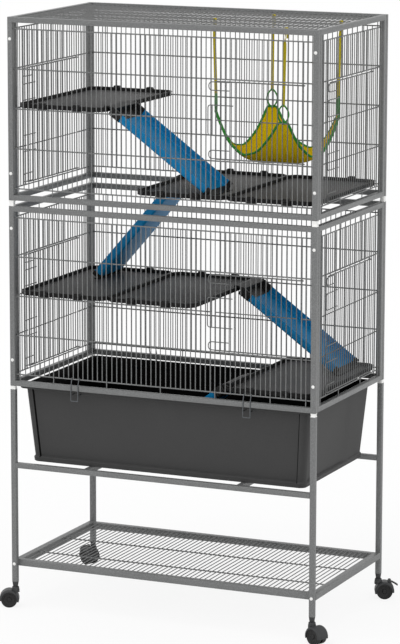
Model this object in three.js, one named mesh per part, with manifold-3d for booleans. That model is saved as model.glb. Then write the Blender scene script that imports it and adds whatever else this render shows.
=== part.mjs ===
// Two-storey ferret cage on a wheeled stand, in millimetres, +Z up.
// Origin: on the floor, under the middle of the cage. +X is the right side and -Y is the front.
//
// Two open-bottomed wire units are stacked on a stand. Each unit is four wire panels in square tube
// frames, bolted corner to corner. A pan slides in under the lower unit, on two cross bars of the
// stand. Hooked trays and ramps, a hammock, wire doors with sliding latches and hooded casters
// complete it.

import * as THREE from 'three';
import { mergeVertices } from 'three/addons/utils/BufferGeometryUtils.js';
import Module from 'manifold-3d';

// ---------------------------------------------------------------- driving dimensions

const WIDTH = 774.7; // over the tubes, left to right
const DEPTH = 438; // over the tubes, front to back
const TUBE = 12.7; // square frame tube
const SEAT = 0.3; // gap between pieces that touch on the real cage
const WELD = 0.2; // gap between crossing wires of one panel

const CASTER_HEIGHT = 50; // floor to leg end
const LEG_TOP = 530;
const UNIT_HEIGHT = 427.5;
const STAND_GAP = 8.5; // between the legs and the lower unit
const STACK_GAP = 13.5; // between the two units
const SPACER = TUBE; // square spacer plug between stacked frames
const ROOT = 1; // how far a piece runs into the one it is joined to

const WIRE = 2.4; // upright wires
const ROW_WIRE = 3.2; // level wires and doorway edges
const ROW_INSET = 27.5; // first and last level wire, from the unit's edges
const ROWS = 5;
const FRONT_GAPS = 60; // gaps between upright wires, front and back
const SIDE_GAPS = 31;
const FRONT_ANCHORS = [1, 8, 19, 30, 41, 52, 59]; // uprights that run on to the rails
const SIDE_ANCHORS = [1, 10, 21, 30];
const FRONT_DOORWAY = { latch: 40, hinge: 58, bottomRow: 1, topRow: 3 };
const RIGHT_DOORWAY = { latch: 4, hinge: 26, bottomRow: 0, topRow: 3 };

const DOOR_BAR_DROP = 5; // door's end bars, inside the doorway's rows
const DOOR_JOINT = 0.1; // depth of the joint between crossing wires of a door
const HINGE_WIRE = 3.2; // square upright that the door's loops curl round
const HINGE_RUN = 0.35; // running gap inside a hinge loop
const HINGE_LOOP_WALL = 1.8;
const CATCH_HEIGHT = 19; // fixed wire loops beside the latches
const CATCH_REACH = 4; // how far they pass the doorway's edge wire
const CATCH_LENGTH = 50;
const CATCH_INSET = 1; // loops inside the door's end bars
const LATCH_WIRE = 2.4;
const LATCH_REACH = 6; // how far a latch passes the doorway's edge wire
const FRONT_LATCH = { height: 69, length: 62, bars: 2 };
const SIDE_LATCH = { height: 38, length: 66, bars: 1, fromBottom: 96.5, fromTop: 61.875 };
const LATCH_BAR_STEP = 10.5;

const GRILLE_WIRE = 4; // border of the top grille
const GRILLE_DROP = 5; // grille below the top of the rails
const GRILLE_ROWS = 5;

const TRAY_STEPS = 18; // tray pitch, counted in wire gaps
const TRAY_END_GAP = 7.3; // tray's ends inside the frame tubes
const TRAY_CORNER = 16;
const TRAY_WALL = 3;
const TRAY_DECK_BOTTOM = 1; // above the level wire that carries it
const TRAY_RIM_TOP = 12;
const HOOK_STEPS = 3.5; // hooks from the tray's middle, in wire gaps
const HOOK_WIDTH = 8;
const HOOK_THICKNESS = 4;
const HOOK_END = 1; // how far a hook passes its wire
const BOSS = { bottomHalf: 12.5, topHalf: 7.3, bottom: -2, top: 16, depth: 6 }; // block behind each hook

const RAMP_WIDTH = 126;
const RAMP_SIDE_GAP = 17; // from a tray's end to the ramp's side
const PAN_RAMP_GAP = 2; // from the pan's wall to the side of the ramp that stands in it
const SHORT_RAMP = 318;
const LONG_RAMP = 340;
const RAMP_WALL = 3;
const RAMP_BELOW = 10; // trough's underside, below the line through its hook
const RAMP_ABOVE = 10; // top of its sides, above that line
const RAMP_START = 16; // trough's top end, from the hook
const RAMP_FILLET = 6;
const RAMP_FOOT = 10;
const HOOK_RISE = 0.7; // lets the hook rock on the rim
const HOOK_LIP = 3;
const HOOK_PLATE = 2.5;
const HOOK_INSIDE = 4;

const PAN_HEIGHT = 184.2;
const PAN_WALL = 3.5;
const PAN_RIM_GAP = 1.3; // rim below the lower unit
const PAN_SIDE_GAP = 2.65; // rim inside the legs
const PAN_END_GAP = 0.8; // rim inside the frames, front and back
const PAN_RIM = { side: 11, end: 8.5, corner: 14, thickness: 6 }; // how far it stands out, and its size
const PAN_CORNER = { top: 50, bottom: 42 };
const PAN_TAPER = 16; // how far each wall draws in towards the base
const PAN_BAND = { height: 11, proud: 3 }; // round the base
const PAN_PANEL = { depth: 3.5, column: 12, slope: 3, fade: 12 }; // walls lie back between the corners
const PAN_CORNER_POINTS = 5;

const CROSS_BAR_X = 195;
const SHELF_TUBE = 16;
const SHELF_BASE = 99;
const SHELF_ROWS = [-105, 40];
const PLUG_HEIGHT = 12; // tapered plug at the end of a leg
const PLUG_END = 9.5;

const CLIP_WIRE = 3;
const CLIP_WIDTH = 18.6;
const CLIP_STEPS = 17.5; // from the cage's middle to a clip's, in wire gaps
const CLIP_DROP = 14.4; // clip's level end, below the pegs under the pan's rim
const CLIP_GRIP = 2; // how far the pegs pass the rim's edge

const WHEEL_RADIUS = 19.5;
const WHEEL_WIDTH = 12;
const WHEEL_SIDES = 14; // even, so that a corner meets the floor
const WEB_HALF = 2.2; // half thickness of the caster's middle web
const WHEEL_GAP = 0.6;
const AXLE_RADIUS = 3;
const AXLE_RUN = 0.35;
const HOOD_RADIUS = 23.5;
const HOOD_WALL = 2;
const HOOD_ENDS = { front: -8, back: 196 }; // degrees round the wheel
const BOSS_ENDS = { back: 158, front: 110 };
const WEB_FOOT = { half: 7, drop: 6 }; // web below and beside the axle
const TRAIL = 15; // axle behind the swivel
const STEM_RADIUS = 4;
const STEM_RUN = 0.3;
const STEM_LENGTH = 22;
const BOSS_HALF = 7.5;
const HOLE_SIDES = 10;
const CASTER_SPLAY = 24; // degrees that the casters point forward or back from straight out
const BRAKE = { x: 12, rise: 3.5, length: 24, width: 12, thickness: 2.5, tilt: 24, pin: 1.5, hub: 2.6, lug: 2.5, lugHalf: 3.5 };

const CLOTH_CORNERS = { left: [53, -20], front: [281, -163], right: [332, 46], rear: [134, 124] };
const CLOTH_HANG = 220; // its corners below the top of the cage
const CLOTH_SAG = 107;
const CLOTH_SHAPE = 2.4; // how late the cloth turns up towards its corners
const CLOTH_DRAW = 0.3; // how far its edges are drawn in
const CLOTH_THICKNESS = 5;
const CLOTH_CELLS = 10;
const STRAP_WIDTH = 10;
const STRAP_THICKNESS = 2.2;
const LOOP_WIDTH = 28;
const LOOP_HEIGHT = 46;
const LOOP_WALL = 3;

// ---------------------------------------------------------------- worked-out places

const rowStep = (UNIT_HEIGHT - 2 * ROW_INSET) / (ROWS - 1);
const rowHeight = (row) => ROW_INSET + row * rowStep;
const frontPitch = (WIDTH - 2 * TUBE) / FRONT_GAPS;
const sideSpan = DEPTH - 2 * TUBE - 2 * SEAT;
const innerX = WIDTH / 2 - TUBE; // inside faces of the side tubes
const innerY = DEPTH / 2 - TUBE;
const frontPlane = -(DEPTH - TUBE) / 2; // middle of the front panel
const sidePlane = (WIDTH - TUBE) / 2;
const backRowY = ROW_WIRE + WELD; // level wires behind the uprights
const anchorY = -(ROW_WIRE / 2 + WELD + WIRE / 2); // long uprights in front of the end rows
const lowerBase = LEG_TOP + STAND_GAP; // underside of the lower unit
const upperBase = lowerBase + UNIT_HEIGHT + STACK_GAP;
const catchY = -(ROW_WIRE / 2 + SEAT + LATCH_WIRE / 2); // catch loops, in front of the doorway's edge
const latchY = catchY - SEAT; // latches, in front of the door as well
const panBase = lowerBase - PAN_RIM_GAP - PAN_HEIGHT;
const midBarTop = panBase - SEAT; // level bars of the leg frames, and the cross bars
const panRim = { x: innerX - PAN_SIDE_GAP, y: innerY - PAN_END_GAP, corner: PAN_RIM.corner };
const panTop = { x: panRim.x - PAN_RIM.side, y: panRim.y - PAN_RIM.end, corner: PAN_CORNER.top };
const panBottom = { x: panTop.x - PAN_TAPER, y: panTop.y - PAN_TAPER, corner: PAN_CORNER.bottom };
const rimUnderside = panBase + PAN_HEIGHT - PAN_RIM.thickness;
const upperTop = upperBase + UNIT_HEIGHT;
const clothTop = upperTop - CLOTH_HANG;
const trayEnd = innerY - TRAY_END_GAP; // half the length of a tray
const rampOffset = trayEnd - RAMP_SIDE_GAP - RAMP_WIDTH / 2; // ramp's middle from the cage's
const panRampOffset = panBottom.y - PAN_WALL - PAN_PANEL.depth - PAN_RAMP_GAP - RAMP_WIDTH / 2;
const wheelOffset = WEB_HALF + WHEEL_GAP + WHEEL_WIDTH / 2;
const hoodHalf = wheelOffset + WHEEL_WIDTH / 2;
const LEFT_DOORWAY = {
  ...RIGHT_DOORWAY,
  latch: SIDE_GAPS - RIGHT_DOORWAY.latch,
  hinge: SIDE_GAPS - RIGHT_DOORWAY.hinge,
};

// ---------------------------------------------------------------- materials

const material = (color, roughness, metalness) =>
  new THREE.MeshStandardMaterial({ color, roughness, metalness });
const PAINTED_STEEL = material('#6f7170', 0.5, 0.4);
const DOOR_WIRE = material('#5f6160', 0.45, 0.5);
const PLATED_WIRE = material('#8a8c8d', 0.35, 0.8);
const TRAY_PLASTIC = material('#63645f', 0.6, 0);
const PAN_PLASTIC = material('#4a4b4b', 0.6, 0);
const RAMP_PLASTIC = material('#0b6fa4', 0.5, 0);
const CASTER_PLASTIC = material('#3a3b3c', 0.55, 0);
const WHEEL_PLASTIC = material('#2e2f30', 0.6, 0);
const BRAKE_PLASTIC = material('#1d1d1e', 0.5, 0);
const CLOTH = material('#d3a412', 0.9, 0);
const WEBBING = material('#c9b23a', 0.85, 0);

// ---------------------------------------------------------------- solids

const wasm = await Module();
wasm.setup();
const { Manifold, Mesh: SolidMesh } = wasm;

// A closed three.js geometry as a solid that can be joined and cut.
function solid(geometry) {
  const bare = geometry.clone();
  bare.deleteAttribute('normal');
  bare.deleteAttribute('uv');
  const merged = mergeVertices(bare, 1e-4);
  return new Manifold(
    new SolidMesh({
      numProp: 3,
      vertProperties: Float32Array.from(merged.attributes.position.array),
      triVerts: Uint32Array.from(merged.index.array),
    }),
  );
}

const join = (solids) => solids.reduce((whole, next) => whole.add(next));

// A block given by its lowest and highest corner.
function block([x0, y0, z0], [x1, y1, z1]) {
  const geometry = new THREE.BoxGeometry(x1 - x0, y1 - y0, z1 - z0);
  return solid(geometry.translate((x0 + x1) / 2, (y0 + y1) / 2, (z0 + z1) / 2));
}

// A square wire between two points on a line parallel to an axis, run on by half its size.
function squareWire(from, to, size) {
  const half = size / 2;
  const low = from.map((value, i) => Math.min(value, to[i]) - half);
  const high = from.map((value, i) => Math.max(value, to[i]) + half);
  return block(low, high);
}

// A thin upright wire with three flat sides.
function upright(x, y, bottom, top) {
  const geometry = new THREE.CylinderGeometry(WIRE / 2, WIRE / 2, top - bottom, 3);
  return solid(geometry.rotateX(Math.PI / 2).translate(x, y, (bottom + top) / 2));
}

// A thin wire running front to back at one height.
function crosswise(x, front, back, z) {
  const geometry = new THREE.CylinderGeometry(WIRE / 2, WIRE / 2, back - front, 3);
  return solid(geometry.translate(x, (front + back) / 2, z));
}

// A post with a round or many-sided section along Z.
function post(x, y, bottom, top, radius, sides) {
  const geometry = new THREE.CylinderGeometry(radius, radius, top - bottom, sides);
  return solid(geometry.rotateX(Math.PI / 2).translate(x, y, (bottom + top) / 2));
}

// An outline in X and Z carried along Y, from front to back, with a round hole where one is given.
function slabAlongY(points, front, back, hole) {
  const outline = new THREE.Shape(points.map(([x, z]) => new THREE.Vector2(x, z)));
  if (hole) outline.holes.push(new THREE.Path().absarc(hole.x, hole.z, hole.radius, 0, Math.PI * 2));
  const geometry = new THREE.ExtrudeGeometry(outline, {
    depth: back - front,
    bevelEnabled: false,
    curveSegments: HOLE_SIDES / 2,
  });
  return solid(geometry.rotateX(Math.PI / 2).translate(0, back, 0));
}

// A flat rectangular frame of square tube, standing in X and Z with its middle plane at Y = 0.
function standingFrame(span, height, tube) {
  const half = span / 2;
  const outline = new THREE.Shape([
    new THREE.Vector2(-half, 0),
    new THREE.Vector2(half, 0),
    new THREE.Vector2(half, height),
    new THREE.Vector2(-half, height),
  ]);
  outline.holes.push(
    new THREE.Path([
      new THREE.Vector2(-half + tube, tube),
      new THREE.Vector2(-half + tube, height - tube),
      new THREE.Vector2(half - tube, height - tube),
      new THREE.Vector2(half - tube, tube),
    ]),
  );
  const geometry = new THREE.ExtrudeGeometry(outline, { depth: tube, bevelEnabled: false });
  return solid(geometry.rotateX(Math.PI / 2).translate(0, tube / 2, 0));
}

// A skin through rings of points, each ring with the same count, closed flat at both ends.
function loft(rings) {
  const count = rings[0].length;
  const positions = rings.flat().flat();
  const faces = [];
  for (let ring = 0; ring < rings.length - 1; ring += 1) {
    for (let i = 0; i < count; i += 1) {
      const a = ring * count + i;
      const b = ring * count + ((i + 1) % count);
      faces.push(a, b, b + count, a, b + count, a + count);
    }
  }
  const last = (rings.length - 1) * count;
  for (let i = 1; i < count - 1; i += 1) {
    faces.push(0, i + 1, i);
    faces.push(last, last + i, last + i + 1);
  }
  const geometry = new THREE.BufferGeometry();
  geometry.setAttribute('position', new THREE.Float32BufferAttribute(positions, 3));
  geometry.setIndex(faces);
  return geometry;
}

// ---------------------------------------------------------------- the model

const cage = new THREE.Group();

function add(name, shape, look, place = {}) {
  const data = shape.getMesh();
  const geometry = new THREE.BufferGeometry();
  geometry.setAttribute('position', new THREE.Float32BufferAttribute(data.vertProperties, 3));
  geometry.setIndex(Array.from(data.triVerts));
  geometry.computeVertexNormals();
  const mesh = new THREE.Mesh(geometry, look);
  mesh.name = name;
  const { x = 0, y = 0, z = 0, turn = 0 } = place;
  mesh.position.set(x, y, z);
  mesh.rotation.z = THREE.MathUtils.degToRad(turn);
  cage.add(mesh);
  return mesh;
}

// ---------------------------------------------------------------- wire panels

// X of upright i in a panel's own frame, counted from its left tube.
function uprightX(span, gaps, i) {
  const inner = span - 2 * TUBE;
  return -inner / 2 + (i * inner) / gaps;
}

const between = (i, doorway) =>
  i > Math.min(doorway.latch, doorway.hinge) && i < Math.max(doorway.latch, doorway.hinge);

// Level wires: the end rows lie in the plane of the uprights, the others behind them.
function levelWires(span, gaps, doorway) {
  const reach = span / 2 - TUBE + ROOT;
  const wires = [];
  for (let row = 0; row < ROWS; row += 1) {
    const endRow = row === 0 || row === ROWS - 1;
    const y = endRow ? 0 : backRowY;
    const z = rowHeight(row);
    const cut = doorway && row > doorway.bottomRow && row < doorway.topRow;
    if (cut) {
      const edges = [doorway.latch, doorway.hinge].map((i) => uprightX(span, gaps, i)).sort((a, b) => a - b);
      wires.push(squareWire([-reach, y, z], [edges[0], y, z], ROW_WIRE));
      wires.push(squareWire([edges[1], y, z], [reach, y, z], ROW_WIRE));
    } else {
      wires.push(squareWire([-reach, y, z], [reach, y, z], ROW_WIRE));
    }
  }
  return wires;
}

// Upright wires, with stubs above and below a doorway and long ones that reach the rails.
function uprightWires(span, gaps, anchors, doorway) {
  const bottom = rowHeight(0);
  const top = rowHeight(ROWS - 1);
  const wires = [];
  for (let i = 1; i < gaps; i += 1) {
    const x = uprightX(span, gaps, i);
    const inDoorway = doorway && between(i, doorway);
    const onEdge = doorway && (i === doorway.latch || i === doorway.hinge);
    const anchored = anchors.includes(i) && !onEdge;
    const y = anchored ? anchorY : 0;
    const low = anchored ? TUBE - ROOT : bottom;
    const high = anchored ? UNIT_HEIGHT - TUBE + ROOT : top;
    if (onEdge) {
      wires.push(squareWire([x, 0, bottom], [x, 0, top], HINGE_WIRE));
    } else if (inDoorway) {
      wires.push(upright(x, y, rowHeight(doorway.topRow), high));
      if (doorway.bottomRow > 0) wires.push(upright(x, y, low, rowHeight(doorway.bottomRow)));
      else if (anchored) wires.push(upright(x, y, low, bottom + ROW_WIRE / 2));
    } else {
      wires.push(upright(x, y, low, high));
    }
  }
  return wires;
}

// Level wires that close a doorway's top and bottom, in the plane of the uprights.
function doorwayBars(span, gaps, doorway) {
  const rows = [doorway.topRow, doorway.bottomRow].filter((row) => row > 0);
  const from = uprightX(span, gaps, doorway.latch);
  const to = uprightX(span, gaps, doorway.hinge);
  return rows.map((row) => squareWire([from, 0, rowHeight(row)], [to, 0, rowHeight(row)], WIRE));
}

function panel(span, gaps, anchors, doorway) {
  const pieces = [standingFrame(span, UNIT_HEIGHT, TUBE)];
  pieces.push(...levelWires(span, gaps, doorway));
  pieces.push(...uprightWires(span, gaps, anchors, doorway));
  if (doorway) pieces.push(...doorwayBars(span, gaps, doorway));
  return join(pieces);
}

// Spacer plugs on a frame's two posts, filling the gap to the frame that stands on it.
function spacers(base, gap) {
  return [-1, 1].map((side) => {
    const x = (side * (WIDTH - TUBE)) / 2;
    const half = SPACER / 2;
    return block([x - half, -half, base - ROOT], [x + half, half, base + gap - SEAT]);
  });
}

// ---------------------------------------------------------------- doors and latches

// A loop that the end of a door bar makes round the hinge wire.
function hingeLoop(x, z) {
  const inside = (HINGE_WIRE / 2) * Math.SQRT2 + HINGE_RUN;
  const radius = inside / Math.cos(Math.PI / 6);
  const outer = radius + HINGE_LOOP_WALL;
  const half = ROW_WIRE / 2;
  const profile = [
    new THREE.Vector2(radius, -half),
    new THREE.Vector2(outer, -half),
    new THREE.Vector2(outer, half),
    new THREE.Vector2(radius, half),
    new THREE.Vector2(radius, -half),
  ];
  const geometry = new THREE.LatheGeometry(profile, 6);
  return solid(geometry.rotateX(Math.PI / 2).rotateZ(Math.PI / 6).translate(x, 0, z));
}

// A fixed loop of wire at the door's free edge that rests on the outside of the doorway's edge wire.
function catchLoop(edgeX, inward, z) {
  const closed = edgeX - inward * CATCH_REACH;
  const open = closed + inward * CATCH_LENGTH;
  const low = z;
  const high = z + CATCH_HEIGHT;
  const pieces = [squareWire([closed, catchY, low], [closed, catchY, high], LATCH_WIRE)];
  for (const level of [low, high]) {
    pieces.push(squareWire([closed, catchY, level], [open, catchY, level], LATCH_WIRE));
  }
  return join(pieces);
}

function door(span, gaps, doorway) {
  const inward = Math.sign(doorway.hinge - doorway.latch);
  const hingeX = uprightX(span, gaps, doorway.hinge);
  const first = doorway.latch + inward;
  const last = doorway.hinge - inward;
  const edgeX = uprightX(span, gaps, first);
  const lastX = uprightX(span, gaps, last);
  const low = rowHeight(doorway.bottomRow) + DOOR_BAR_DROP;
  const high = rowHeight(doorway.topRow) - DOOR_BAR_DROP;
  const loopEdge = hingeX - inward * ((HINGE_WIRE / 2) * Math.SQRT2 + HINGE_RUN + HINGE_LOOP_WALL + WELD);
  const pieces = [];
  for (const z of [low, high]) {
    pieces.push(squareWire([edgeX, 0, z], [loopEdge, 0, z], ROW_WIRE));
    pieces.push(hingeLoop(hingeX, z));
  }
  // the end uprights are doubled: they meet the level wires behind and the loops in front
  const front = catchY + LATCH_WIRE / 2 - DOOR_JOINT;
  const back = backRowY - WIRE / 2 + DOOR_JOINT;
  const half = WIRE / 2;
  for (const x of [edgeX, lastX]) pieces.push(block([x - half, front, low], [x + half, back, high]));
  for (let i = first + inward; i !== last; i += inward) {
    pieces.push(upright(uprightX(span, gaps, i), 0, low, high));
  }
  for (let row = doorway.bottomRow + 1; row < doorway.topRow; row += 1) {
    const z = rowHeight(row);
    pieces.push(squareWire([edgeX, backRowY, z], [lastX, backRowY, z], WIRE));
  }
  const latchX = uprightX(span, gaps, doorway.latch);
  pieces.push(catchLoop(latchX, inward, low + CATCH_INSET));
  pieces.push(catchLoop(latchX, inward, high - CATCH_HEIGHT - CATCH_INSET));
  return join(pieces);
}

// A bent wire bolt that slides along the door and passes the doorway's edge wire.
function latch(span, gaps, doorway, shape, above) {
  const inward = Math.sign(doorway.hinge - doorway.latch);
  const tip = uprightX(span, gaps, doorway.latch) - inward * LATCH_REACH;
  const end = tip + inward * shape.length;
  const low = above - shape.height / 2;
  const high = above + shape.height / 2;
  const pieces = [];
  for (let bar = 0; bar < shape.bars; bar += 1) {
    const x = tip + inward * bar * LATCH_BAR_STEP;
    pieces.push(squareWire([x, latchY, low], [x, latchY, high], LATCH_WIRE));
  }
  for (const z of [low, high]) pieces.push(squareWire([tip, latchY, z], [end, latchY, z], LATCH_WIRE));
  return join(pieces);
}

// ---------------------------------------------------------------- the two units

const UNITS = [
  { name: 'lower', base: lowerBase },
  { name: 'upper', base: upperBase },
];

for (const unit of UNITS) {
  const places = {
    front: { x: 0, y: frontPlane, z: unit.base, turn: 0 },
    back: { x: 0, y: -frontPlane, z: unit.base, turn: 180 },
    right: { x: sidePlane, y: 0, z: unit.base, turn: 90 },
    left: { x: -sidePlane, y: 0, z: unit.base, turn: -90 },
  };
  const walls = {
    front: panel(WIDTH, FRONT_GAPS, FRONT_ANCHORS, FRONT_DOORWAY),
    back: panel(WIDTH, FRONT_GAPS, FRONT_ANCHORS, null),
    right: panel(sideSpan, SIDE_GAPS, SIDE_ANCHORS, RIGHT_DOORWAY),
    left: panel(sideSpan, SIDE_GAPS, SIDE_ANCHORS, LEFT_DOORWAY),
  };
  if (unit.name === 'lower') {
    for (const side of ['front', 'back']) walls[side] = join([walls[side], ...spacers(UNIT_HEIGHT, STACK_GAP)]);
  }
  for (const [side, shape] of Object.entries(walls)) {
    add(`${unit.name}_${side}_panel`, shape, PAINTED_STEEL, places[side]);
  }
  add(`${unit.name}_front_door`, door(WIDTH, FRONT_GAPS, FRONT_DOORWAY), DOOR_WIRE, places.front);
  add(`${unit.name}_right_door`, door(sideSpan, SIDE_GAPS, RIGHT_DOORWAY), DOOR_WIRE, places.right);
  add(`${unit.name}_left_door`, door(sideSpan, SIDE_GAPS, LEFT_DOORWAY), DOOR_WIRE, places.left);
  const doorMiddle = (rowHeight(FRONT_DOORWAY.bottomRow) + rowHeight(FRONT_DOORWAY.topRow)) / 2;
  const frontLatch = latch(WIDTH, FRONT_GAPS, FRONT_DOORWAY, FRONT_LATCH, doorMiddle);
  add(`${unit.name}_front_latch`, frontLatch, DOOR_WIRE, places.front);
  const sideLatches = {
    low: rowHeight(RIGHT_DOORWAY.bottomRow) + SIDE_LATCH.fromBottom,
    high: rowHeight(RIGHT_DOORWAY.topRow) - SIDE_LATCH.fromTop,
  };
  for (const [level, above] of Object.entries(sideLatches)) {
    const right = latch(sideSpan, SIDE_GAPS, RIGHT_DOORWAY, SIDE_LATCH, above);
    const left = latch(sideSpan, SIDE_GAPS, LEFT_DOORWAY, SIDE_LATCH, above);
    add(`${unit.name}_right_latch_${level}`, right, DOOR_WIRE, places.right);
    add(`${unit.name}_left_latch_${level}`, left, DOOR_WIRE, places.left);
  }
}

// Wire top, dropped between the rails of the upper unit.
function topGrille() {
  const half = GRILLE_WIRE / 2;
  const x = innerX - SEAT - half;
  const y = innerY - SEAT - half;
  const pieces = [];
  for (const side of [-1, 1]) {
    pieces.push(squareWire([-x, side * y, 0], [x, side * y, 0], GRILLE_WIRE));
    pieces.push(squareWire([side * x, -y, 0], [side * x, y, 0], GRILLE_WIRE));
  }
  for (let i = 1; i < FRONT_GAPS; i += 1) {
    pieces.push(crosswise(uprightX(WIDTH, FRONT_GAPS, i), -y, y, 0));
  }
  const under = -(WIRE / 2 + WELD + ROW_WIRE / 2);
  for (let row = 1; row <= GRILLE_ROWS; row += 1) {
    const rowY = -y + (2 * y * row) / (GRILLE_ROWS + 1);
    pieces.push(squareWire([-x + WELD, rowY, under], [x - WELD, rowY, under], ROW_WIRE));
  }
  return join(pieces);
}
add('top_grille', topGrille(), PAINTED_STEEL, { z: upperTop - GRILLE_DROP });

// ---------------------------------------------------------------- stand

// A pair of legs with a level bar, spacer plugs on top, tapered end plugs and bores for the stems.
function legFrame() {
  const x = (WIDTH - TUBE) / 2;
  const half = TUBE / 2;
  const plugTop = CASTER_HEIGHT + PLUG_HEIGHT;
  const pieces = [block([-x, -half, midBarTop - TUBE], [x, half, midBarTop])];
  for (const side of [-1, 1]) {
    const legX = side * x;
    pieces.push(block([legX - half, -half, plugTop], [legX + half, half, LEG_TOP]));
    const plug = new THREE.CylinderGeometry(half * Math.SQRT2, (PLUG_END / 2) * Math.SQRT2, PLUG_HEIGHT + ROOT, 4);
    plug.rotateX(Math.PI / 2).rotateZ(Math.PI / 4);
    pieces.push(solid(plug.translate(legX, 0, CASTER_HEIGHT + (PLUG_HEIGHT + ROOT) / 2)));
  }
  pieces.push(...spacers(LEG_TOP, STAND_GAP));
  const bore = STEM_RADIUS + STEM_RUN;
  return [-1, 1].reduce(
    (frame, side) =>
      frame.subtract(post(side * x, 0, CASTER_HEIGHT - ROOT, CASTER_HEIGHT + STEM_LENGTH + 2, bore, HOLE_SIDES)),
    join(pieces),
  );
}
add('front_leg_frame', legFrame(), PAINTED_STEEL, { y: frontPlane });
add('rear_leg_frame', legFrame(), PAINTED_STEEL, { y: -frontPlane, turn: 180 });

for (const [name, x] of [['left_cross_bar', -CROSS_BAR_X], ['right_cross_bar', CROSS_BAR_X]]) {
  const end = innerY - SEAT;
  const bar = block([-TUBE / 2, -end, midBarTop - TUBE], [TUBE / 2, end, midBarTop]);
  add(name, bar, PAINTED_STEEL, { x });
}

// Low storage shelf: a tube frame with wires from front to back over two long ones.
function shelf() {
  const x = WIDTH / 2;
  const y = innerY - SEAT;
  const frame = standingFrame(2 * x, 2 * y, SHELF_TUBE).rotate([90, 0, 0]);
  const pieces = [frame.translate([0, y, SHELF_TUBE / 2])];
  const wireZ = SHELF_TUBE - WIRE;
  const inner = 2 * (x - SHELF_TUBE);
  for (let i = 1; i < FRONT_GAPS; i += 1) {
    const end = y - SHELF_TUBE + ROOT;
    pieces.push(crosswise(-inner / 2 + (i * inner) / FRONT_GAPS, -end, end, wireZ));
  }
  const under = wireZ - WIRE / 2 - WELD - ROW_WIRE / 2;
  for (const rowY of SHELF_ROWS) {
    pieces.push(squareWire([-inner / 2, rowY, under], [inner / 2, rowY, under], ROW_WIRE));
  }
  return join(pieces);
}
add('storage_shelf', shelf(), PAINTED_STEEL, { z: SHELF_BASE });

// ---------------------------------------------------------------- pan and its clips

// A rounded rectangle as a ring of points at one height. Its four sides lie back between the corners
// by a dent. The ring starts in the middle of a corner, which no straight side is in line with.
function roundedRing({ x, y, corner }, z, dent = 0) {
  const ring = [];
  for (let quarter = 0; quarter < 4; quarter += 1) {
    const signX = quarter === 0 || quarter === 3 ? 1 : -1;
    const signY = quarter < 2 ? 1 : -1;
    for (let i = 0; i < PAN_CORNER_POINTS; i += 1) {
      const angle = ((quarter + i / (PAN_CORNER_POINTS - 1)) * Math.PI) / 2;
      ring.push([
        signX * (x - corner) + corner * Math.cos(angle),
        signY * (y - corner) + corner * Math.sin(angle),
        z,
      ]);
    }
    const [half, out] = quarter % 2 === 0 ? [x, y] : [y, x];
    const column = half - corner - PAN_PANEL.column;
    const side = [
      [column, out],
      [column - PAN_PANEL.slope, out - dent],
      [PAN_PANEL.slope - column, out - dent],
      [-column, out],
    ];
    const turn = (quarter * Math.PI) / 2;
    const cos = Math.round(Math.cos(turn));
    const sin = Math.round(Math.sin(turn));
    ring.push(...side.map(([along, away]) => [along * cos - away * sin, along * sin + away * cos, z]));
  }
  const start = (PAN_CORNER_POINTS - 1) / 2;
  return [...ring.slice(start), ...ring.slice(0, start)];
}

const inset = (size, by) => ({ x: size.x - by, y: size.y - by, corner: size.corner - by });

function panSize(height) {
  const share = height / (PAN_HEIGHT - PAN_RIM.thickness);
  const mix = (key) => panBottom[key] + (panTop[key] - panBottom[key]) * share;
  return { x: mix('x'), y: mix('y'), corner: mix('corner') };
}

function pan() {
  const under = PAN_HEIGHT - PAN_RIM.thickness;
  const fade = under - PAN_PANEL.fade;
  const band = PAN_BAND.height;
  const dent = PAN_PANEL.depth;
  return solid(
    loft([
      roundedRing(inset(panSize(0), -PAN_BAND.proud), 0),
      roundedRing(inset(panSize(band), -PAN_BAND.proud), band),
      roundedRing(panSize(band), band + ROOT, dent),
      roundedRing(panSize(fade), fade, dent),
      roundedRing(panSize(under), under),
      roundedRing(panRim, under),
      roundedRing(panRim, PAN_HEIGHT),
      roundedRing(inset(panSize(under), PAN_WALL), PAN_HEIGHT),
      roundedRing(inset(panSize(fade), PAN_WALL), fade, dent),
      roundedRing(inset(panSize(band), PAN_WALL), band + PAN_WALL, dent),
      roundedRing(inset(panSize(0), PAN_WALL), PAN_WALL),
    ]),
  );
}
add('pan', pan(), PAN_PLASTIC, { z: panBase });

// A bent wire clip: over the lowest level wire, down the rail's face, with pegs in under the pan's rim.
// Its own frame is the panel's: Y = 0 is the panel's middle plane, -Y is outside.
function panClip() {
  const half = CLIP_WIRE / 2;
  const x = CLIP_WIDTH / 2;
  const faceY = -(TUBE / 2 + SEAT + half);
  const top = lowerBase + rowHeight(0) + ROW_WIRE / 2 + SEAT + half;
  const peg = rimUnderside - SEAT - half;
  const bottom = peg - CLIP_DROP;
  const rimY = -frontPlane - panRim.y + half + CLIP_GRIP;
  const pieces = [squareWire([-x, faceY, bottom], [x, faceY, bottom], CLIP_WIRE)];
  for (const side of [-x, x]) {
    pieces.push(squareWire([side, faceY, bottom], [side, faceY, top], CLIP_WIRE));
    pieces.push(squareWire([side, faceY, peg], [side, rimY, peg], CLIP_WIRE));
    pieces.push(squareWire([side, faceY, top], [side, 0, top], CLIP_WIRE));
  }
  return join(pieces);
}
for (const [name, side] of [['left', -1], ['right', 1]]) {
  const x = side * CLIP_STEPS * frontPitch;
  add(`front_${name}_pan_clip`, panClip(), PLATED_WIRE, { x, y: frontPlane });
  add(`rear_${name}_pan_clip`, panClip(), PLATED_WIRE, { x, y: -frontPlane, turn: 180 });
}

// ---------------------------------------------------------------- trays

const trayHalf = (TRAY_STEPS * frontPitch) / 2 - SEAT;

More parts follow.
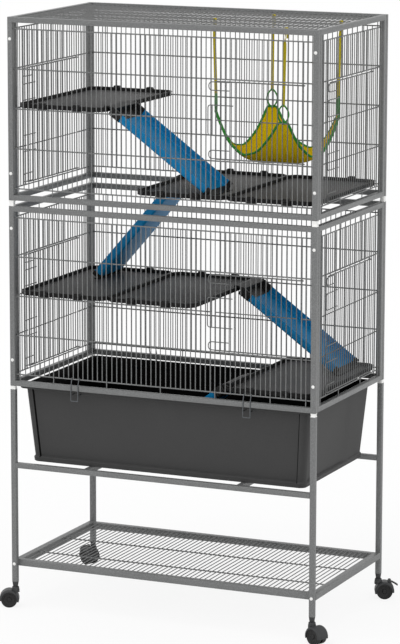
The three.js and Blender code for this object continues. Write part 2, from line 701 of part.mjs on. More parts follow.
// The tray's outline with cut corners, drawn in by a margin, as a ring of points at one height.
function trayOutline(margin, z) {
  const x = trayHalf - margin;
  const y = trayEnd - margin;
  const cut = TRAY_CORNER - margin * 0.6;
  const corners = [
    [x - cut, -y],
    [x, -y + cut],
    [x, y - cut],
    [x - cut, y],
    [-x + cut, y],
    [-x, y - cut],
    [-x, -y + cut],
    [-x + cut, -y],
  ];
  return corners.map(([px, py]) => [px, py, z]);
}

// A flat deck with a raised rim and four hooks that rest on the panels' level wires.
// Z = 0 is the middle of those wires.
function tray(row) {
  const pieces = [
    solid(
      loft([
        trayOutline(0, TRAY_DECK_BOTTOM),
        trayOutline(0, TRAY_RIM_TOP),
        trayOutline(TRAY_WALL, TRAY_RIM_TOP),
        trayOutline(TRAY_WALL, TRAY_DECK_BOTTOM + TRAY_WALL),
      ]),
    ),
  ];
  const wireY = -frontPlane - (row === 0 ? 0 : backRowY);
  const bottom = ROW_WIRE / 2 + SEAT;
  for (const side of [-1, 1]) {
    const x = side * HOOK_STEPS * frontPitch;
    const half = HOOK_WIDTH / 2;
    const boss = [
      [x - BOSS.bottomHalf, BOSS.bottom],
      [x + BOSS.bottomHalf, BOSS.bottom],
      [x + BOSS.topHalf, BOSS.top],
      [x - BOSS.topHalf, BOSS.top],
    ];
    for (const end of [-1, 1]) {
      const inside = trayEnd - ROOT;
      const nose = [inside, wireY + HOOK_END].map((y) => end * y).sort((a, b) => a - b);
      const ends = [inside, trayEnd + BOSS.depth].map((y) => end * y).sort((a, b) => a - b);
      pieces.push(block([x - half, nose[0], bottom], [x + half, nose[1], bottom + HOOK_THICKNESS]));
      pieces.push(slabAlongY(boss, ends[0], ends[1]));
    }
  }
  return join(pieces);
}

const TRAYS = [
  { name: 'upper_left_tray', steps: -21, base: upperBase, row: 2 },
  { name: 'upper_middle_tray', steps: 3, base: upperBase, row: 0 },
  { name: 'upper_right_tray', steps: 21, base: upperBase, row: 0 },
  { name: 'lower_left_tray', steps: -21, base: lowerBase, row: 2 },
  { name: 'lower_middle_tray', steps: -3, base: lowerBase, row: 2 },
  { name: 'lower_right_tray', steps: 21, base: lowerBase, row: 0 },
];
for (const { name, steps, base, row } of TRAYS) {
  add(name, tray(row), TRAY_PLASTIC, { x: steps * frontPitch, z: base + rowHeight(row) });
}

// ---------------------------------------------------------------- ramps

// A trough that hooks over a tray's rim and stands on the surface below it. Its own frame has the
// origin on top of the rim, in its middle, and the ramp runs down towards +X.
function ramp(length, drop) {
  const fall = drop - SEAT;
  const slope = Math.asin(fall / Math.hypot(length, RAMP_BELOW)) - Math.atan2(RAMP_BELOW, length);
  const cos = Math.cos(slope);
  const sin = Math.sin(slope);
  const onSlope = (along, above) => [along * cos + above * sin, -along * sin + above * cos];
  const half = RAMP_WIDTH / 2;
  const inside = half - RAMP_WALL;
  const floor = -RAMP_BELOW + RAMP_WALL;
  const section = [
    [-half, RAMP_ABOVE],
    [-half, -RAMP_BELOW + RAMP_FILLET],
    [-half + RAMP_FILLET, -RAMP_BELOW],
    [half - RAMP_FILLET, -RAMP_BELOW],
    [half, -RAMP_BELOW + RAMP_FILLET],
    [half, RAMP_ABOVE],
    [inside, RAMP_ABOVE],
    [inside, floor + RAMP_FILLET - 1],
    [inside - RAMP_FILLET + 1, floor],
    [-inside + RAMP_FILLET - 1, floor],
    [-inside, floor + RAMP_FILLET - 1],
    [-inside, RAMP_ABOVE],
  ];
  const outline = new THREE.Shape(section.map(([y, n]) => new THREE.Vector2(y, n)));
  const troughShape = new THREE.ExtrudeGeometry(outline, { depth: length - RAMP_START, bevelEnabled: false });
  // section's first axis to Y, its second up from the slope, its depth down the slope
  troughShape.applyMatrix4(
    new THREE.Matrix4().makeBasis(
      new THREE.Vector3(0, 1, 0),
      new THREE.Vector3(sin, 0, cos),
      new THREE.Vector3(cos, 0, -sin),
    ),
  );
  troughShape.translate(RAMP_START * cos, 0, -RAMP_START * sin);
  const rise = HOOK_RISE;
  const hook = [
    [-HOOK_INSIDE - 2, -HOOK_LIP],
    [-HOOK_INSIDE, -HOOK_LIP],
    [-HOOK_INSIDE, rise],
    [HOOK_INSIDE, rise],
    onSlope(RAMP_START - 3, 2),
    onSlope(RAMP_START - 3, -RAMP_BELOW),
    onSlope(RAMP_START + 1, -RAMP_BELOW),
    onSlope(RAMP_START + 1, RAMP_ABOVE),
    [HOOK_INSIDE, rise + HOOK_PLATE],
    [-HOOK_INSIDE - 2, rise + HOOK_PLATE],
  ];
  const [footX, footZ] = onSlope(length, -RAMP_BELOW);
  const foot = [
    onSlope(length - 12, -RAMP_BELOW + 0.2),
    [footX - 0.1, footZ],
    [footX + RAMP_FOOT, footZ],
    [footX + RAMP_FOOT, footZ + RAMP_WALL],
    onSlope(length - 0.2, floor + 2),
    onSlope(length - 12, floor + 2),
  ];
  const width = half - 0.5;
  return join([solid(troughShape), slabAlongY(hook, -width, width), slabAlongY(foot, -width, width)]);
}

const rimTopOf = (base, row) => base + rowHeight(row) + TRAY_RIM_TOP;
const deckOf = (base, row) => base + rowHeight(row) + TRAY_DECK_BOTTOM + TRAY_WALL;
const edgeOf = (steps, side) => steps * frontPitch + side * (trayHalf - TRAY_WALL / 2);
const RAMPS = [
  {
    name: 'upper_front_ramp', length: SHORT_RAMP, x: edgeOf(-21, 1), side: 1, y: -rampOffset,
    top: rimTopOf(upperBase, 2), bottom: deckOf(upperBase, 0),
  },
  {
    name: 'upper_rear_ramp', length: LONG_RAMP, x: edgeOf(3, -1), side: -1, y: rampOffset,
    top: rimTopOf(upperBase, 0), bottom: deckOf(lowerBase, 2),
  },
  {
    name: 'lower_rear_ramp', length: SHORT_RAMP, x: edgeOf(-3, 1), side: 1, y: rampOffset,
    top: rimTopOf(lowerBase, 2), bottom: deckOf(lowerBase, 0),
  },
  {
    name: 'lower_front_ramp', length: LONG_RAMP, x: edgeOf(21, -1), side: -1, y: -panRampOffset,
    top: rimTopOf(lowerBase, 0), bottom: panBase + PAN_WALL,
  },
];
for (const { name, length, x, side, y, top, bottom } of RAMPS) {
  add(name, ramp(length, top - bottom), RAMP_PLASTIC, { x, y, z: top, turn: side > 0 ? 0 : 180 });
}

// ---------------------------------------------------------------- casters

// Points on an arc round the wheel's middle, angles in degrees.
function arc(radius, from, to, steps) {
  const points = [];
  for (let i = 0; i <= steps; i += 1) {
    const angle = THREE.MathUtils.degToRad(from + ((to - from) * i) / steps);
    points.push([TRAIL + radius * Math.cos(angle), WHEEL_RADIUS + radius * Math.sin(angle)]);
  }
  return points;
}

const brakePivot = [TRAIL + BRAKE.x, WHEEL_RADIUS + Math.sqrt(HOOD_RADIUS ** 2 - BRAKE.x ** 2) + BRAKE.rise];

// Hood, middle web, boss and stem. Its own frame has the swivel axis at X = 0 and the floor at Z = 0.
function casterHousing(braked) {
  const inside = HOOD_RADIUS - HOOD_WALL;
  const bossTop = CASTER_HEIGHT - SEAT;
  const { front, back } = HOOD_ENDS;
  const hood = [...arc(HOOD_RADIUS, front, back, 10), ...arc(inside, back, front, 10)];
  const webBottom = WHEEL_RADIUS - WEB_FOOT.drop;
  const web = [
    ...arc(inside + ROOT, 0, 180, 6),
    [TRAIL - WEB_FOOT.half, webBottom],
    [TRAIL + WEB_FOOT.half, webBottom],
  ];
  const boss = [
    ...arc(HOOD_RADIUS - ROOT, BOSS_ENDS.back, BOSS_ENDS.front, 3),
    [BOSS_HALF, bossTop],
    [-BOSS_HALF, bossTop],
  ];
  const pieces = [
    slabAlongY(hood, -hoodHalf, hoodHalf),
    slabAlongY(web, -WEB_HALF, WEB_HALF, { x: TRAIL, z: WHEEL_RADIUS, radius: AXLE_RADIUS + AXLE_RUN }),
    slabAlongY(boss, -BOSS_HALF, BOSS_HALF),
    post(0, 0, bossTop - ROOT, CASTER_HEIGHT + STEM_LENGTH, STEM_RADIUS, 8),
  ];
  if (braked) {
    const [x, z] = brakePivot;
    const half = BRAKE.width / 2 + SEAT;
    const onHood = (offset) => THREE.MathUtils.radToDeg(Math.acos(offset / (HOOD_RADIUS - ROOT)));
    const lug = [
      ...arc(HOOD_RADIUS - ROOT, onHood(BRAKE.x - BRAKE.lugHalf), onHood(BRAKE.x + BRAKE.lugHalf), 2),
      [x + BRAKE.lugHalf, z + BRAKE.lugHalf],
      [x - BRAKE.lugHalf, z + BRAKE.lugHalf],
    ];
    const hole = { x, z, radius: BRAKE.pin + 0.3 };
    pieces.push(slabAlongY(lug, -half - BRAKE.lug, -half, hole));
    pieces.push(slabAlongY(lug, half, half + BRAKE.lug, hole));
  }
  return join(pieces);
}

// Two wheels on one axle, turned as one piece about Y.
function wheelPair() {
  const near = WEB_HALF + WHEEL_GAP;
  const far = near + WHEEL_WIDTH;
  const profile = [
    [0, -far],
    [WHEEL_RADIUS, -far],
    [WHEEL_RADIUS, -near],
    [AXLE_RADIUS, -near],
    [AXLE_RADIUS, near],
    [WHEEL_RADIUS, near],
    [WHEEL_RADIUS, far],
    [0, far],
  ].map(([r, y]) => new THREE.Vector2(r, y));
  const geometry = new THREE.LatheGeometry(profile, WHEEL_SIDES);
  return solid(geometry.translate(TRAIL, 0, WHEEL_RADIUS));
}

// Foot lever over the hood, on a pin between the two lugs.
function brakeLever() {
  const [x, z] = brakePivot;
  const half = BRAKE.width / 2;
  const tilt = THREE.MathUtils.degToRad(BRAKE.tilt);
  const plate = new THREE.BoxGeometry(BRAKE.length, BRAKE.width, BRAKE.thickness);
  plate.translate(BRAKE.length / 2 - 2, 0, 0).rotateY(tilt).translate(x, 0, z);
  const pin = new THREE.CylinderGeometry(BRAKE.pin, BRAKE.pin, 2 * (half + SEAT + BRAKE.lug) - 0.4, 8);
  const hub = new THREE.CylinderGeometry(BRAKE.hub, BRAKE.hub, BRAKE.width, 8);
  return join([solid(plate), solid(pin.translate(x, 0, z)), solid(hub.translate(x, 0, z))]);
}

const legX = (WIDTH - TUBE) / 2;
const CASTERS = {
  front_left: { x: -legX, y: frontPlane, turn: 180 + CASTER_SPLAY },
  front_right: { x: legX, y: frontPlane, turn: -CASTER_SPLAY },
  rear_left: { x: -legX, y: -frontPlane, turn: 180 - CASTER_SPLAY },
  rear_right: { x: legX, y: -frontPlane, turn: CASTER_SPLAY },
};
for (const [corner, place] of Object.entries(CASTERS)) {
  const braked = corner.startsWith('rear');
  add(`${corner}_caster`, casterHousing(braked), CASTER_PLASTIC, place);
  add(`${corner}_wheels`, wheelPair(), WHEEL_PLASTIC, place);
  if (braked) add(`${corner}_brake`, brakeLever(), BRAKE_PLASTIC, place);
}

// ---------------------------------------------------------------- hammock

// The cloth between its four corners: u and v run from -1 to 1, each corner at both limits. The
// edges are drawn in towards the middle and the height follows a power of the distance out.
function clothPoint(u, v) {
  const { left, front, right, rear } = CLOTH_CORNERS;
  const weights = [
    [left, (1 - u) * (1 - v)],
    [front, (1 + u) * (1 - v)],
    [right, (1 + u) * (1 + v)],
    [rear, (1 - u) * (1 + v)],
  ];
  const flat = [0, 1].map((axis) => weights.reduce((sum, [corner, w]) => sum + (corner[axis] * w) / 4, 0));
  const middle = [0, 1].map((axis) => weights.reduce((sum, [corner]) => sum + corner[axis] / 4, 0));
  const draw = 1 - CLOTH_DRAW * (u * u + v * v - 2 * u * u * v * v);
  const [x, y] = flat.map((value, axis) => middle[axis] + (value - middle[axis]) * draw);
  const out = ((u * u + v * v) / 2) ** CLOTH_SHAPE;
  return [x, y, clothTop - CLOTH_SAG * (1 - out)];
}

// A closed sheet: the upper face, the lower face and the edge between them.
function cloth() {
  const n = CLOTH_CELLS;
  const at = (i, j, face) => face * (n + 1) ** 2 + i * (n + 1) + j;
  const positions = [];
  for (const side of [1, -1]) {
    for (let i = 0; i <= n; i += 1) {
      for (let j = 0; j <= n; j += 1) {
        const [x, y, z] = clothPoint((2 * i) / n - 1, (2 * j) / n - 1);
        positions.push(x, y, z + (side * CLOTH_THICKNESS) / 2);
      }
    }
  }
  const faces = [];
  const quad = (a, b, c, d) => faces.push(a, b, c, a, c, d);
  for (let i = 0; i < n; i += 1) {
    for (let j = 0; j < n; j += 1) {
      quad(at(i, j, 0), at(i + 1, j, 0), at(i + 1, j + 1, 0), at(i, j + 1, 0));
      quad(at(i, j, 1), at(i, j + 1, 1), at(i + 1, j + 1, 1), at(i + 1, j, 1));
    }
    quad(at(i, 0, 1), at(i + 1, 0, 1), at(i + 1, 0, 0), at(i, 0, 0));
    quad(at(i + 1, n, 1), at(i, n, 1), at(i, n, 0), at(i + 1, n, 0));
    quad(at(0, i + 1, 1), at(0, i, 1), at(0, i, 0), at(0, i + 1, 0));
    quad(at(n, i, 1), at(n, i + 1, 1), at(n, i + 1, 0), at(n, i, 0));
  }
  const geometry = new THREE.BufferGeometry();
  geometry.setAttribute('position', new THREE.Float32BufferAttribute(positions, 3));
  geometry.setIndex(faces);
  return solid(geometry);
}
add('hammock_cloth', cloth(), CLOTH);

// A cloth loop on the hammock's corner with its webbing strap, up to the wires of the top grille.
function strap() {
  const bottom = clothTop + CLOTH_THICKNESS / 2 + SEAT;
  const top = upperTop - GRILLE_DROP - WIRE / 4 - SEAT;
  const outer = new THREE.Shape();
  outer.absellipse(0, LOOP_HEIGHT / 2, LOOP_WIDTH / 2, LOOP_HEIGHT / 2, 0, Math.PI * 2, false, 0);
  const hole = new THREE.Path();
  hole.absellipse(0, LOOP_HEIGHT / 2, LOOP_WIDTH / 2 - LOOP_WALL, LOOP_HEIGHT / 2 - LOOP_WALL, 0, Math.PI * 2, true, 0);
  outer.holes.push(hole);
  const loop = new THREE.ExtrudeGeometry(outer, { depth: STRAP_THICKNESS + 1, bevelEnabled: false, curveSegments: 6 });
  loop.rotateX(Math.PI / 2).translate(0, STRAP_THICKNESS / 2 + 0.5, bottom);
  const web = block(
    [-STRAP_WIDTH / 2, -STRAP_THICKNESS / 2, bottom + LOOP_HEIGHT - LOOP_WALL],
    [STRAP_WIDTH / 2, STRAP_THICKNESS / 2, top],
  );
  return join([solid(loop), web]);
}
for (const [corner, [x, y]] of Object.entries(CLOTH_CORNERS)) {
  add(`hammock_strap_${corner}`, strap(), WEBBING, { x, y });
}

export default cage;
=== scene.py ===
"""Two-storey ferret cage on a wheeled stand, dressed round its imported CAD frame.

Lengths in this script are millimetres in the frame's own axes: +X to the right, -Y to the front and
+Z up, from the floor under the cage's middle. A mesh turns them to metres when it is made. A shape
is a pair: its points, and a list of arrays that name each face's points.
"""

import math

import bmesh
import bpy
import numpy as np
from mathutils import Matrix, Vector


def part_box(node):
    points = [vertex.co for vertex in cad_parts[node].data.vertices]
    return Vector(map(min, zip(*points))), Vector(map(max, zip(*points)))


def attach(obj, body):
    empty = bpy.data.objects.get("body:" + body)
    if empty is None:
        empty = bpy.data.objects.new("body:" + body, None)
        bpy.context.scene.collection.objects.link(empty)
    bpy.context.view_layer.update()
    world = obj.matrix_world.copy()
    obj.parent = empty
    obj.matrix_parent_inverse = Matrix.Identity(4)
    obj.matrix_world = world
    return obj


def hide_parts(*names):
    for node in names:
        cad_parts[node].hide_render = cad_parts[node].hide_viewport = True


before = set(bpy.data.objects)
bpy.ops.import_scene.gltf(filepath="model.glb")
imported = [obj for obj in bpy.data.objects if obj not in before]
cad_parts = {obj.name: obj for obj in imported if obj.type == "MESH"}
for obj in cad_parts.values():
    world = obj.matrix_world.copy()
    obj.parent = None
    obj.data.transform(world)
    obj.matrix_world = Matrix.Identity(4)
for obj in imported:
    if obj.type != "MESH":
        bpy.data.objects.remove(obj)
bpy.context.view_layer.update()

MM = 0.001

# ---------------------------------------------------------------- sizes read from the frame


def box_mm(node):
    """Lowest and highest corner of a CAD node, in millimetres."""
    low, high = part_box(node)
    return np.array(low) / MM, np.array(high) / MM


front_low, front_high = box_mm("upper_front_panel")
side_low, side_high = box_mm("upper_right_panel")
pan_low, pan_high = box_mm("pan")
WIDTH = front_high[0] - front_low[0]
TUBE = front_high[1] - front_low[1]
UNIT_HEIGHT = front_high[2] - front_low[2]
SIDE_SPAN = side_high[1] - side_low[1]
FRONT_PLANE = (front_low[1] + front_high[1]) / 2
SIDE_PLANE = (side_low[0] + side_high[0]) / 2
INNER_Y = -FRONT_PLANE - TUBE / 2
BASE = {"lower": box_mm("lower_front_panel")[0][2], "upper": front_low[2]}
TOP = front_high[2]
ENDS = {"front": (0, FRONT_PLANE), "rear": (180, -FRONT_PLANE)}  # how each is turned, and its plane
POST_X = SIDE_PLANE
LEG_END = box_mm("front_leg_frame")[0][2]
MID_BAR_TOP = box_mm("left_cross_bar")[1][2]
CROSS_BAR_X = (box_mm("right_cross_bar")[0][0] + box_mm("right_cross_bar")[1][0]) / 2
SHELF_BASE = box_mm("storage_shelf")[0][2]

# ---------------------------------------------------------------- named sizes, as in the CAD source

SEAT = 0.3  # between pieces that touch
STAND_GAP = 8.5  # between the stand's legs and the lower unit
TUBE_EDGE = 1.6  # radius of a tube's edges
WIRE = 2.4
ROW_WIRE = 3.2
ROW_INSET = 27.5
ROWS = 5
FRONT_GAPS = 60
SIDE_GAPS = 31
FRONT_LONG_WIRES = (1, 8, 19, 30, 41, 52, 59)
SIDE_LONG_WIRES = (1, 10, 21, 30)
FRONT_DOORWAY = {"latch": 40, "hinge": 58, "bottom": 1, "top": 3}
RIGHT_DOORWAY = {"latch": 4, "hinge": 26, "bottom": 0, "top": 3}
LEFT_DOORWAY = {"latch": 27, "hinge": 5, "bottom": 0, "top": 3}
ROW_DEPTH = 2.6  # level wires are welded behind the uprights
LONG_DEPTH = -2.6  # long uprights are welded in front of the end rows
WIRE_ROOT = 1  # how far a wire runs into its tube
WELD_DEPTH = 0.2  # how far two crossing wires are pressed into each other
PITCH = (WIDTH - 2 * TUBE) / FRONT_GAPS
ROW_STEP = (UNIT_HEIGHT - 2 * ROW_INSET) / (ROWS - 1)

DOOR_BAR_DROP = 5  # from the doorway's edges to the door's end bars
CATCH_HEIGHT = 19
CATCH_REACH = 4  # past the doorway's edge wire
CATCH_LENGTH = 50
CATCH_INSET = 1  # inside the door's end bars
CATCH_BEND = CATCH_HEIGHT / 2 - 0.1
CATCH_Y = -3.1
LATCH_WIRE = 2.4
LATCH_REACH = 6
LATCH_BEND = 7
LATCH_Y = -3.4
LATCH_BAR_STEP = 10.5
FRONT_LATCH = {"height": 69, "length": 62, "bars": 2}
SIDE_LATCH = {"height": 38, "length": 66, "bars": 1}
SIDE_LATCH_PLACES = {"low": (0, 96.5), "high": (3, -61.875)}  # a row and the height from it
EYE_RADIUS = 3.2
EYE_WIRE = 2.6

GRILLE_WIRE = 4  # the border's
GRILLE_CORNER = 5
GRILLE_ROWS = 5
GRILLE_Z = TOP - 5

# ---------------------------------------------------------------- shapes


def at(x, y, z):
    """Points from numbers or arrays of x, y and z."""
    return np.stack(np.broadcast_arrays(x, y, z), axis=-1).astype(float)


def unit(vectors):
    """Vectors scaled to length one."""
    return vectors / np.linalg.norm(vectors, axis=-1, keepdims=True)


def grid(points, first_round=False, second_round=False):
    """Quads between neighbouring points of an array (rows, columns, 3), closed where it goes round."""
    ids = np.arange(points.shape[0] * points.shape[1]).reshape(points.shape[:2])
    if first_round:
        ids = np.vstack([ids, ids[:1]])
    if second_round:
        ids = np.hstack([ids, ids[:, :1]])
    quads = np.stack([ids[:-1, :-1], ids[1:, :-1], ids[1:, 1:], ids[:-1, 1:]], axis=-1)
    return points.reshape(-1, 3), [quads.reshape(-1, 4)]


def capped(points):
    """A skin through rings (rings, ring points, 3), with a flat face over its first and last ring."""
    skin, faces = grid(points, second_round=True)
    ring = np.arange(points.shape[1])
    last = (points.shape[0] - 1) * points.shape[1]
    return skin, faces + [ring[None, :], last + ring[None, ::-1]]


def merged(shapes):
    """Several shapes as one."""
    points, faces, start = [], [], 0
    for shape_points, shape_faces in shapes:
        points.append(shape_points)
        faces += [array + start for array in shape_faces]
        start += len(shape_points)
    return np.concatenate(points), faces


def placed(shape, turn, to):
    """A shape turned about Z by so many degrees and then moved."""
    points, faces = shape
    c, s = math.cos(math.radians(turn)), math.sin(math.radians(turn))
    spin = np.array([[c, -s, 0], [s, c, 0], [0, 0, 1]])
    return points @ spin.T + np.array(to), faces


def around(sides):
    """Angles evenly spaced round a circle."""
    return np.linspace(0, 2 * np.pi, sides, endpoint=False)


def square_axes(along):
    """Two unit vectors square to each direction and to each other."""
    helper = np.where(np.abs(along[..., 2:3]) > 0.9, [1.0, 0, 0], [0, 0, 1.0])
    side = unit(np.cross(along, helper))
    return side, np.cross(along, side)


def rods(starts, ends, diameter, sides=8):
    """Straight round wires: each end plus radius * (cos a, sin a) on two axes square to the wire."""
    starts, ends = np.broadcast_arrays(np.atleast_2d(starts), np.atleast_2d(ends))
    side, other = square_axes(unit(ends - starts))
    angle = around(sides)[None, :, None]
    ring = diameter / 2 * (np.cos(angle) * side[:, None] + np.sin(angle) * other[:, None])
    points = np.stack([starts[:, None] + ring, ends[:, None] + ring], axis=1)
    ids = np.arange(points[..., 0].size).reshape(points.shape[:3])
    following = np.roll(ids, -1, axis=2)
    quads = np.stack([ids[:, 0], following[:, 0], following[:, 1], ids[:, 1]], axis=-1)
    return points.reshape(-1, 3), [quads.reshape(-1, 4), ids[:, 0, ::-1], ids[:, 1]]


def blocks(lows, highs):
    """Boxes from lowest to highest corner: a point takes the high value where its bit is set."""
    lows, highs = np.broadcast_arrays(np.atleast_2d(lows), np.atleast_2d(highs))
    bits = np.array(
        [[0, 0, 0], [1, 0, 0], [1, 1, 0], [0, 1, 0], [0, 0, 1], [1, 0, 1], [1, 1, 1], [0, 1, 1]]
    )
    points = lows[:, None] + bits[None] * (highs - lows)[:, None]
    sides = np.array([[0, 3, 2, 1], [4, 5, 6, 7], [0, 1, 5, 4], [1, 2, 6, 5], [2, 3, 7, 6], [3, 0, 4, 7]])
    quads = sides[None] + 8 * np.arange(len(lows))[:, None, None]
    return points.reshape(-1, 3).astype(float), [quads.reshape(-1, 4)]


def circle(diameter, sides=10):
    """A round section: the radius times (cos a, sin a)."""
    angle = around(sides)
    return diameter / 2 * np.stack([np.cos(angle), np.sin(angle)], axis=-1)


def corner_curves(before, corner, after, radius, steps):
    """Each corner p as the curve (1-t)^2 a + 2t(1-t) p + t^2 b, where a and b lie a radius from p."""
    a = corner + unit(before - corner) * radius
    b = corner + unit(after - corner) * radius
    t = np.linspace(0, 1, steps)[None, :, None]
    return (1 - t) ** 2 * a[:, None] + 2 * t * (1 - t) * corner[:, None] + t**2 * b[:, None]


def rounded_outline(corners, radii, steps=4):
    """A closed outline whose corners are rounded."""
    corners = np.asarray(corners, float)
    radii = np.broadcast_to(np.asarray(radii, float), len(corners))[:, None]
    before, after = np.roll(corners, 1, axis=0), np.roll(corners, -1, axis=0)
    return corner_curves(before, corners, after, radii, steps).reshape(-1, corners.shape[1])


def eased_rectangle(width, height, ease, steps=3):
    """A rectangle's outline, across and up, with rounded corners."""
    x, y = width / 2, height / 2
    return rounded_outline([[x, y], [-x, y], [-x, -y], [x, -y]], ease, steps)


def bent(points, radius, steps=6):
    """A path whose inner corners are rounded."""
    points = np.asarray(points, float)
    curves = corner_curves(points[:-2], points[1:-1], points[2:], radius, steps)
    return np.concatenate([points[:1], curves.reshape(-1, 3), points[-1:]])


def swept(path, section, up, closed=False, twist=0.0):
    """A section carried along a path: path + across * side + rise * lift, with side square to path and up.

    Twist turns the section about the path, one angle in degrees for each point of the path.
    """
    if closed:
        direction = unit(np.roll(path, -1, axis=0) - np.roll(path, 1, axis=0))
    else:
        direction = unit(np.gradient(path, axis=0))
    side = unit(np.cross(direction, np.asarray(up, float)))
    lift = np.cross(side, direction)
    angle = np.radians(np.broadcast_to(twist, len(path)))[:, None]
    across = section[None, :, 0] * np.cos(angle) - section[None, :, 1] * np.sin(angle)
    rise = section[None, :, 0] * np.sin(angle) + section[None, :, 1] * np.cos(angle)
    points = path[:, None] + across[..., None] * side[:, None] + rise[..., None] * lift[:, None]
    return grid(points, True, True) if closed else capped(points)


def extruded(outline, front, back):
    """An outline in X and Z carried along Y from front to back."""
    outline = np.asarray(outline, float)
    return capped(np.stack([at(outline[:, 0], y, outline[:, 1]) for y in (front, back)]))


def lofted(outlines, heights):
    """A skin through outlines in X and Y, each at its own height, closed flat at both ends."""
    return capped(np.stack([at(line[:, 0], line[:, 1], z) for line, z in zip(outlines, heights)]))


def tube_frame(half_across, low, high, tube):
    """A mitred rectangle of square tube in X and Z: corners plus the section on diagonals and Y."""
    section = eased_rectangle(tube, tube, TUBE_EDGE)
    signs = np.array([[-1, -1], [1, -1], [1, 1], [-1, 1]])
    across, rise = half_across - tube / 2, (high - low) / 2 - tube / 2
    corner = at(signs[:, 0] * across, 0, (low + high) / 2 + signs[:, 1] * rise)
    diagonal = at(signs[:, 0], 0, signs[:, 1])
    points = corner[:, None] + section[None, :, :1] * diagonal[:, None]
    return grid(points + section[None, :, 1:] * np.array([0, 1, 0]), True, True)


def laid_flat(shape):
    """A shape that stands in X and Z laid down in X and Y."""
    points, faces = shape
    return points[:, [0, 2, 1]] * np.array([1, 1, -1]), faces


def revolved(profile, centre, axis, sides):
    """A profile of (radius, along) pairs turned about an axis: centre + along * axis + radius * ring."""
    axis = unit(np.asarray(axis, float))
    side, other = square_axes(axis)
    angle = around(sides)[None, :, None]
    ring = np.cos(angle) * side + np.sin(angle) * other
    profile = np.asarray(profile, float)[:, None, :]
    return capped(np.asarray(centre) + profile[..., 1:] * axis + profile[..., :1] * ring)


TUBE_SECTION = eased_rectangle(TUBE, TUBE, TUBE_EDGE)

# ---------------------------------------------------------------- finishes


def linear(hex_colour):
    """An sRGB hex colour as linear RGBA."""
    values = np.array([int(hex_colour[i : i + 2], 16) for i in (1, 3, 5)]) / 255
    shades = np.where(values <= 0.04045, values / 12.92, ((values + 0.055) / 1.055) ** 2.4)
    return (*shades.tolist(), 1.0)


def add_node(tree, kind, inputs=None, **settings):
    """A shader node with its settings. An input takes a value or another node's output."""
    made = tree.nodes.new(kind)
    for name, value in settings.items():
        setattr(made, name, value)
    for name, value in (inputs or {}).items():
        if isinstance(value, bpy.types.NodeSocket):
            tree.links.new(value, made.inputs[name])
        else:
            made.inputs[name].default_value = value
    return made


MIX_FACTOR, MIX_A, MIX_B, MIX_COLOUR = 0, 6, 7, 2  # a colour mix's sockets


def finish(name, dark, light, pattern, grain, relief, roughness, metallic=0.0, gloss=0.3):
    """A material whose colour and relief follow one pattern, its grains so many millimetres wide."""
    material = bpy.data.materials.new(name)
    material.use_nodes = True
    tree = material.node_tree
    shader = tree.nodes["Principled BSDF"]
    shader.inputs["Roughness"].default_value = roughness
    shader.inputs["Metallic"].default_value = metallic
    shader.inputs["Specular IOR Level"].default_value = gloss
    coordinates = add_node(tree, "ShaderNodeTexCoord")
    if pattern == "weave":
        height = weave_height(tree, coordinates.outputs["UV"], grain)
    elif pattern == "cells":
        cells = {"Vector": coordinates.outputs["Object"], "Scale": 1 / (grain * MM), "Smoothness": 0.6}
        height = add_node(tree, "ShaderNodeTexVoronoi", cells, feature="SMOOTH_F1").outputs["Distance"]
    else:
        noise = {"Vector": coordinates.outputs["Object"], "Scale": 1 / (grain * MM), "Detail": 3.0}
        height = add_node(tree, "ShaderNodeTexNoise", noise).outputs["Fac"]
    spread = add_node(tree, "ShaderNodeMapRange", {"Value": height, "From Min": 0.2, "From Max": 0.8})
    shades = {MIX_FACTOR: spread.outputs["Result"], MIX_A: linear(dark), MIX_B: linear(light)}
    colour = add_node(tree, "ShaderNodeMix", shades, data_type="RGBA").outputs[MIX_COLOUR]
    # a broad, faint change of shade, as on anything that has been handled
    blotch = add_node(tree, "ShaderNodeTexNoise", {"Vector": coordinates.outputs["Object"], "Scale": 9.0})
    shade_range = {"Value": blotch.outputs["Fac"], "To Min": 0.93, "To Max": 1.07}
    shade = add_node(tree, "ShaderNodeMapRange", shade_range)
    varied = {MIX_FACTOR: 1.0, MIX_A: colour, MIX_B: shade.outputs["Result"]}
    toned = add_node(tree, "ShaderNodeMix", varied, data_type="RGBA", blend_type="MULTIPLY")
    tree.links.new(toned.outputs[MIX_COLOUR], shader.inputs["Base Color"])
    bump = add_node(tree, "ShaderNodeBump", {"Height": height, "Strength": 0.7, "Distance": relief * MM})
    tree.links.new(bump.outputs["Normal"], shader.inputs["Normal"])
    return material


def weave_height(tree, where, spacing):
    """Height of a plain weave: the higher of two sets of ridges, across and along, spacing mm apart."""
    ridges = []
    for direction in ("X", "Y"):
        # a band texture repeats 20 times in 2 pi units, and the cloth's UV map is in metres
        scale = math.pi / 10 / (spacing * MM)
        bands = {"Vector": where, "Scale": scale, "Distortion": 0.4, "Detail": 1.0}
        ridges.append(add_node(tree, "ShaderNodeTexWave", bands, bands_direction=direction).outputs["Fac"])
    return add_node(tree, "ShaderNodeMath", {0: ridges[0], 1: ridges[1]}, operation="MAXIMUM").outputs[0]


# steel tube and wire under a sprayed powder coat that cures in small dimples: satin grey with soft,
# broken highlights. Dimples are about 1 mm, drawn at 2.5 mm so that the render can show them.
POWDER_COAT = finish(
    "powder_coated_steel", "#686969", "#7c7d7d", "cells", 2.5, 0.12, 0.42, metallic=0.15
)
# the same coat on thin wire, where it lies smoother and a little darker
COATED_WIRE = finish("powder_coated_wire", "#5c5d5d", "#707171", "cells", 2.0, 0.06, 0.4, metallic=0.15)
# door and latch wire, coated in the same bath
DOOR_WIRE = finish("door_wire_coat", "#565757", "#6a6b6b", "cells", 2.0, 0.06, 0.4, metallic=0.15)
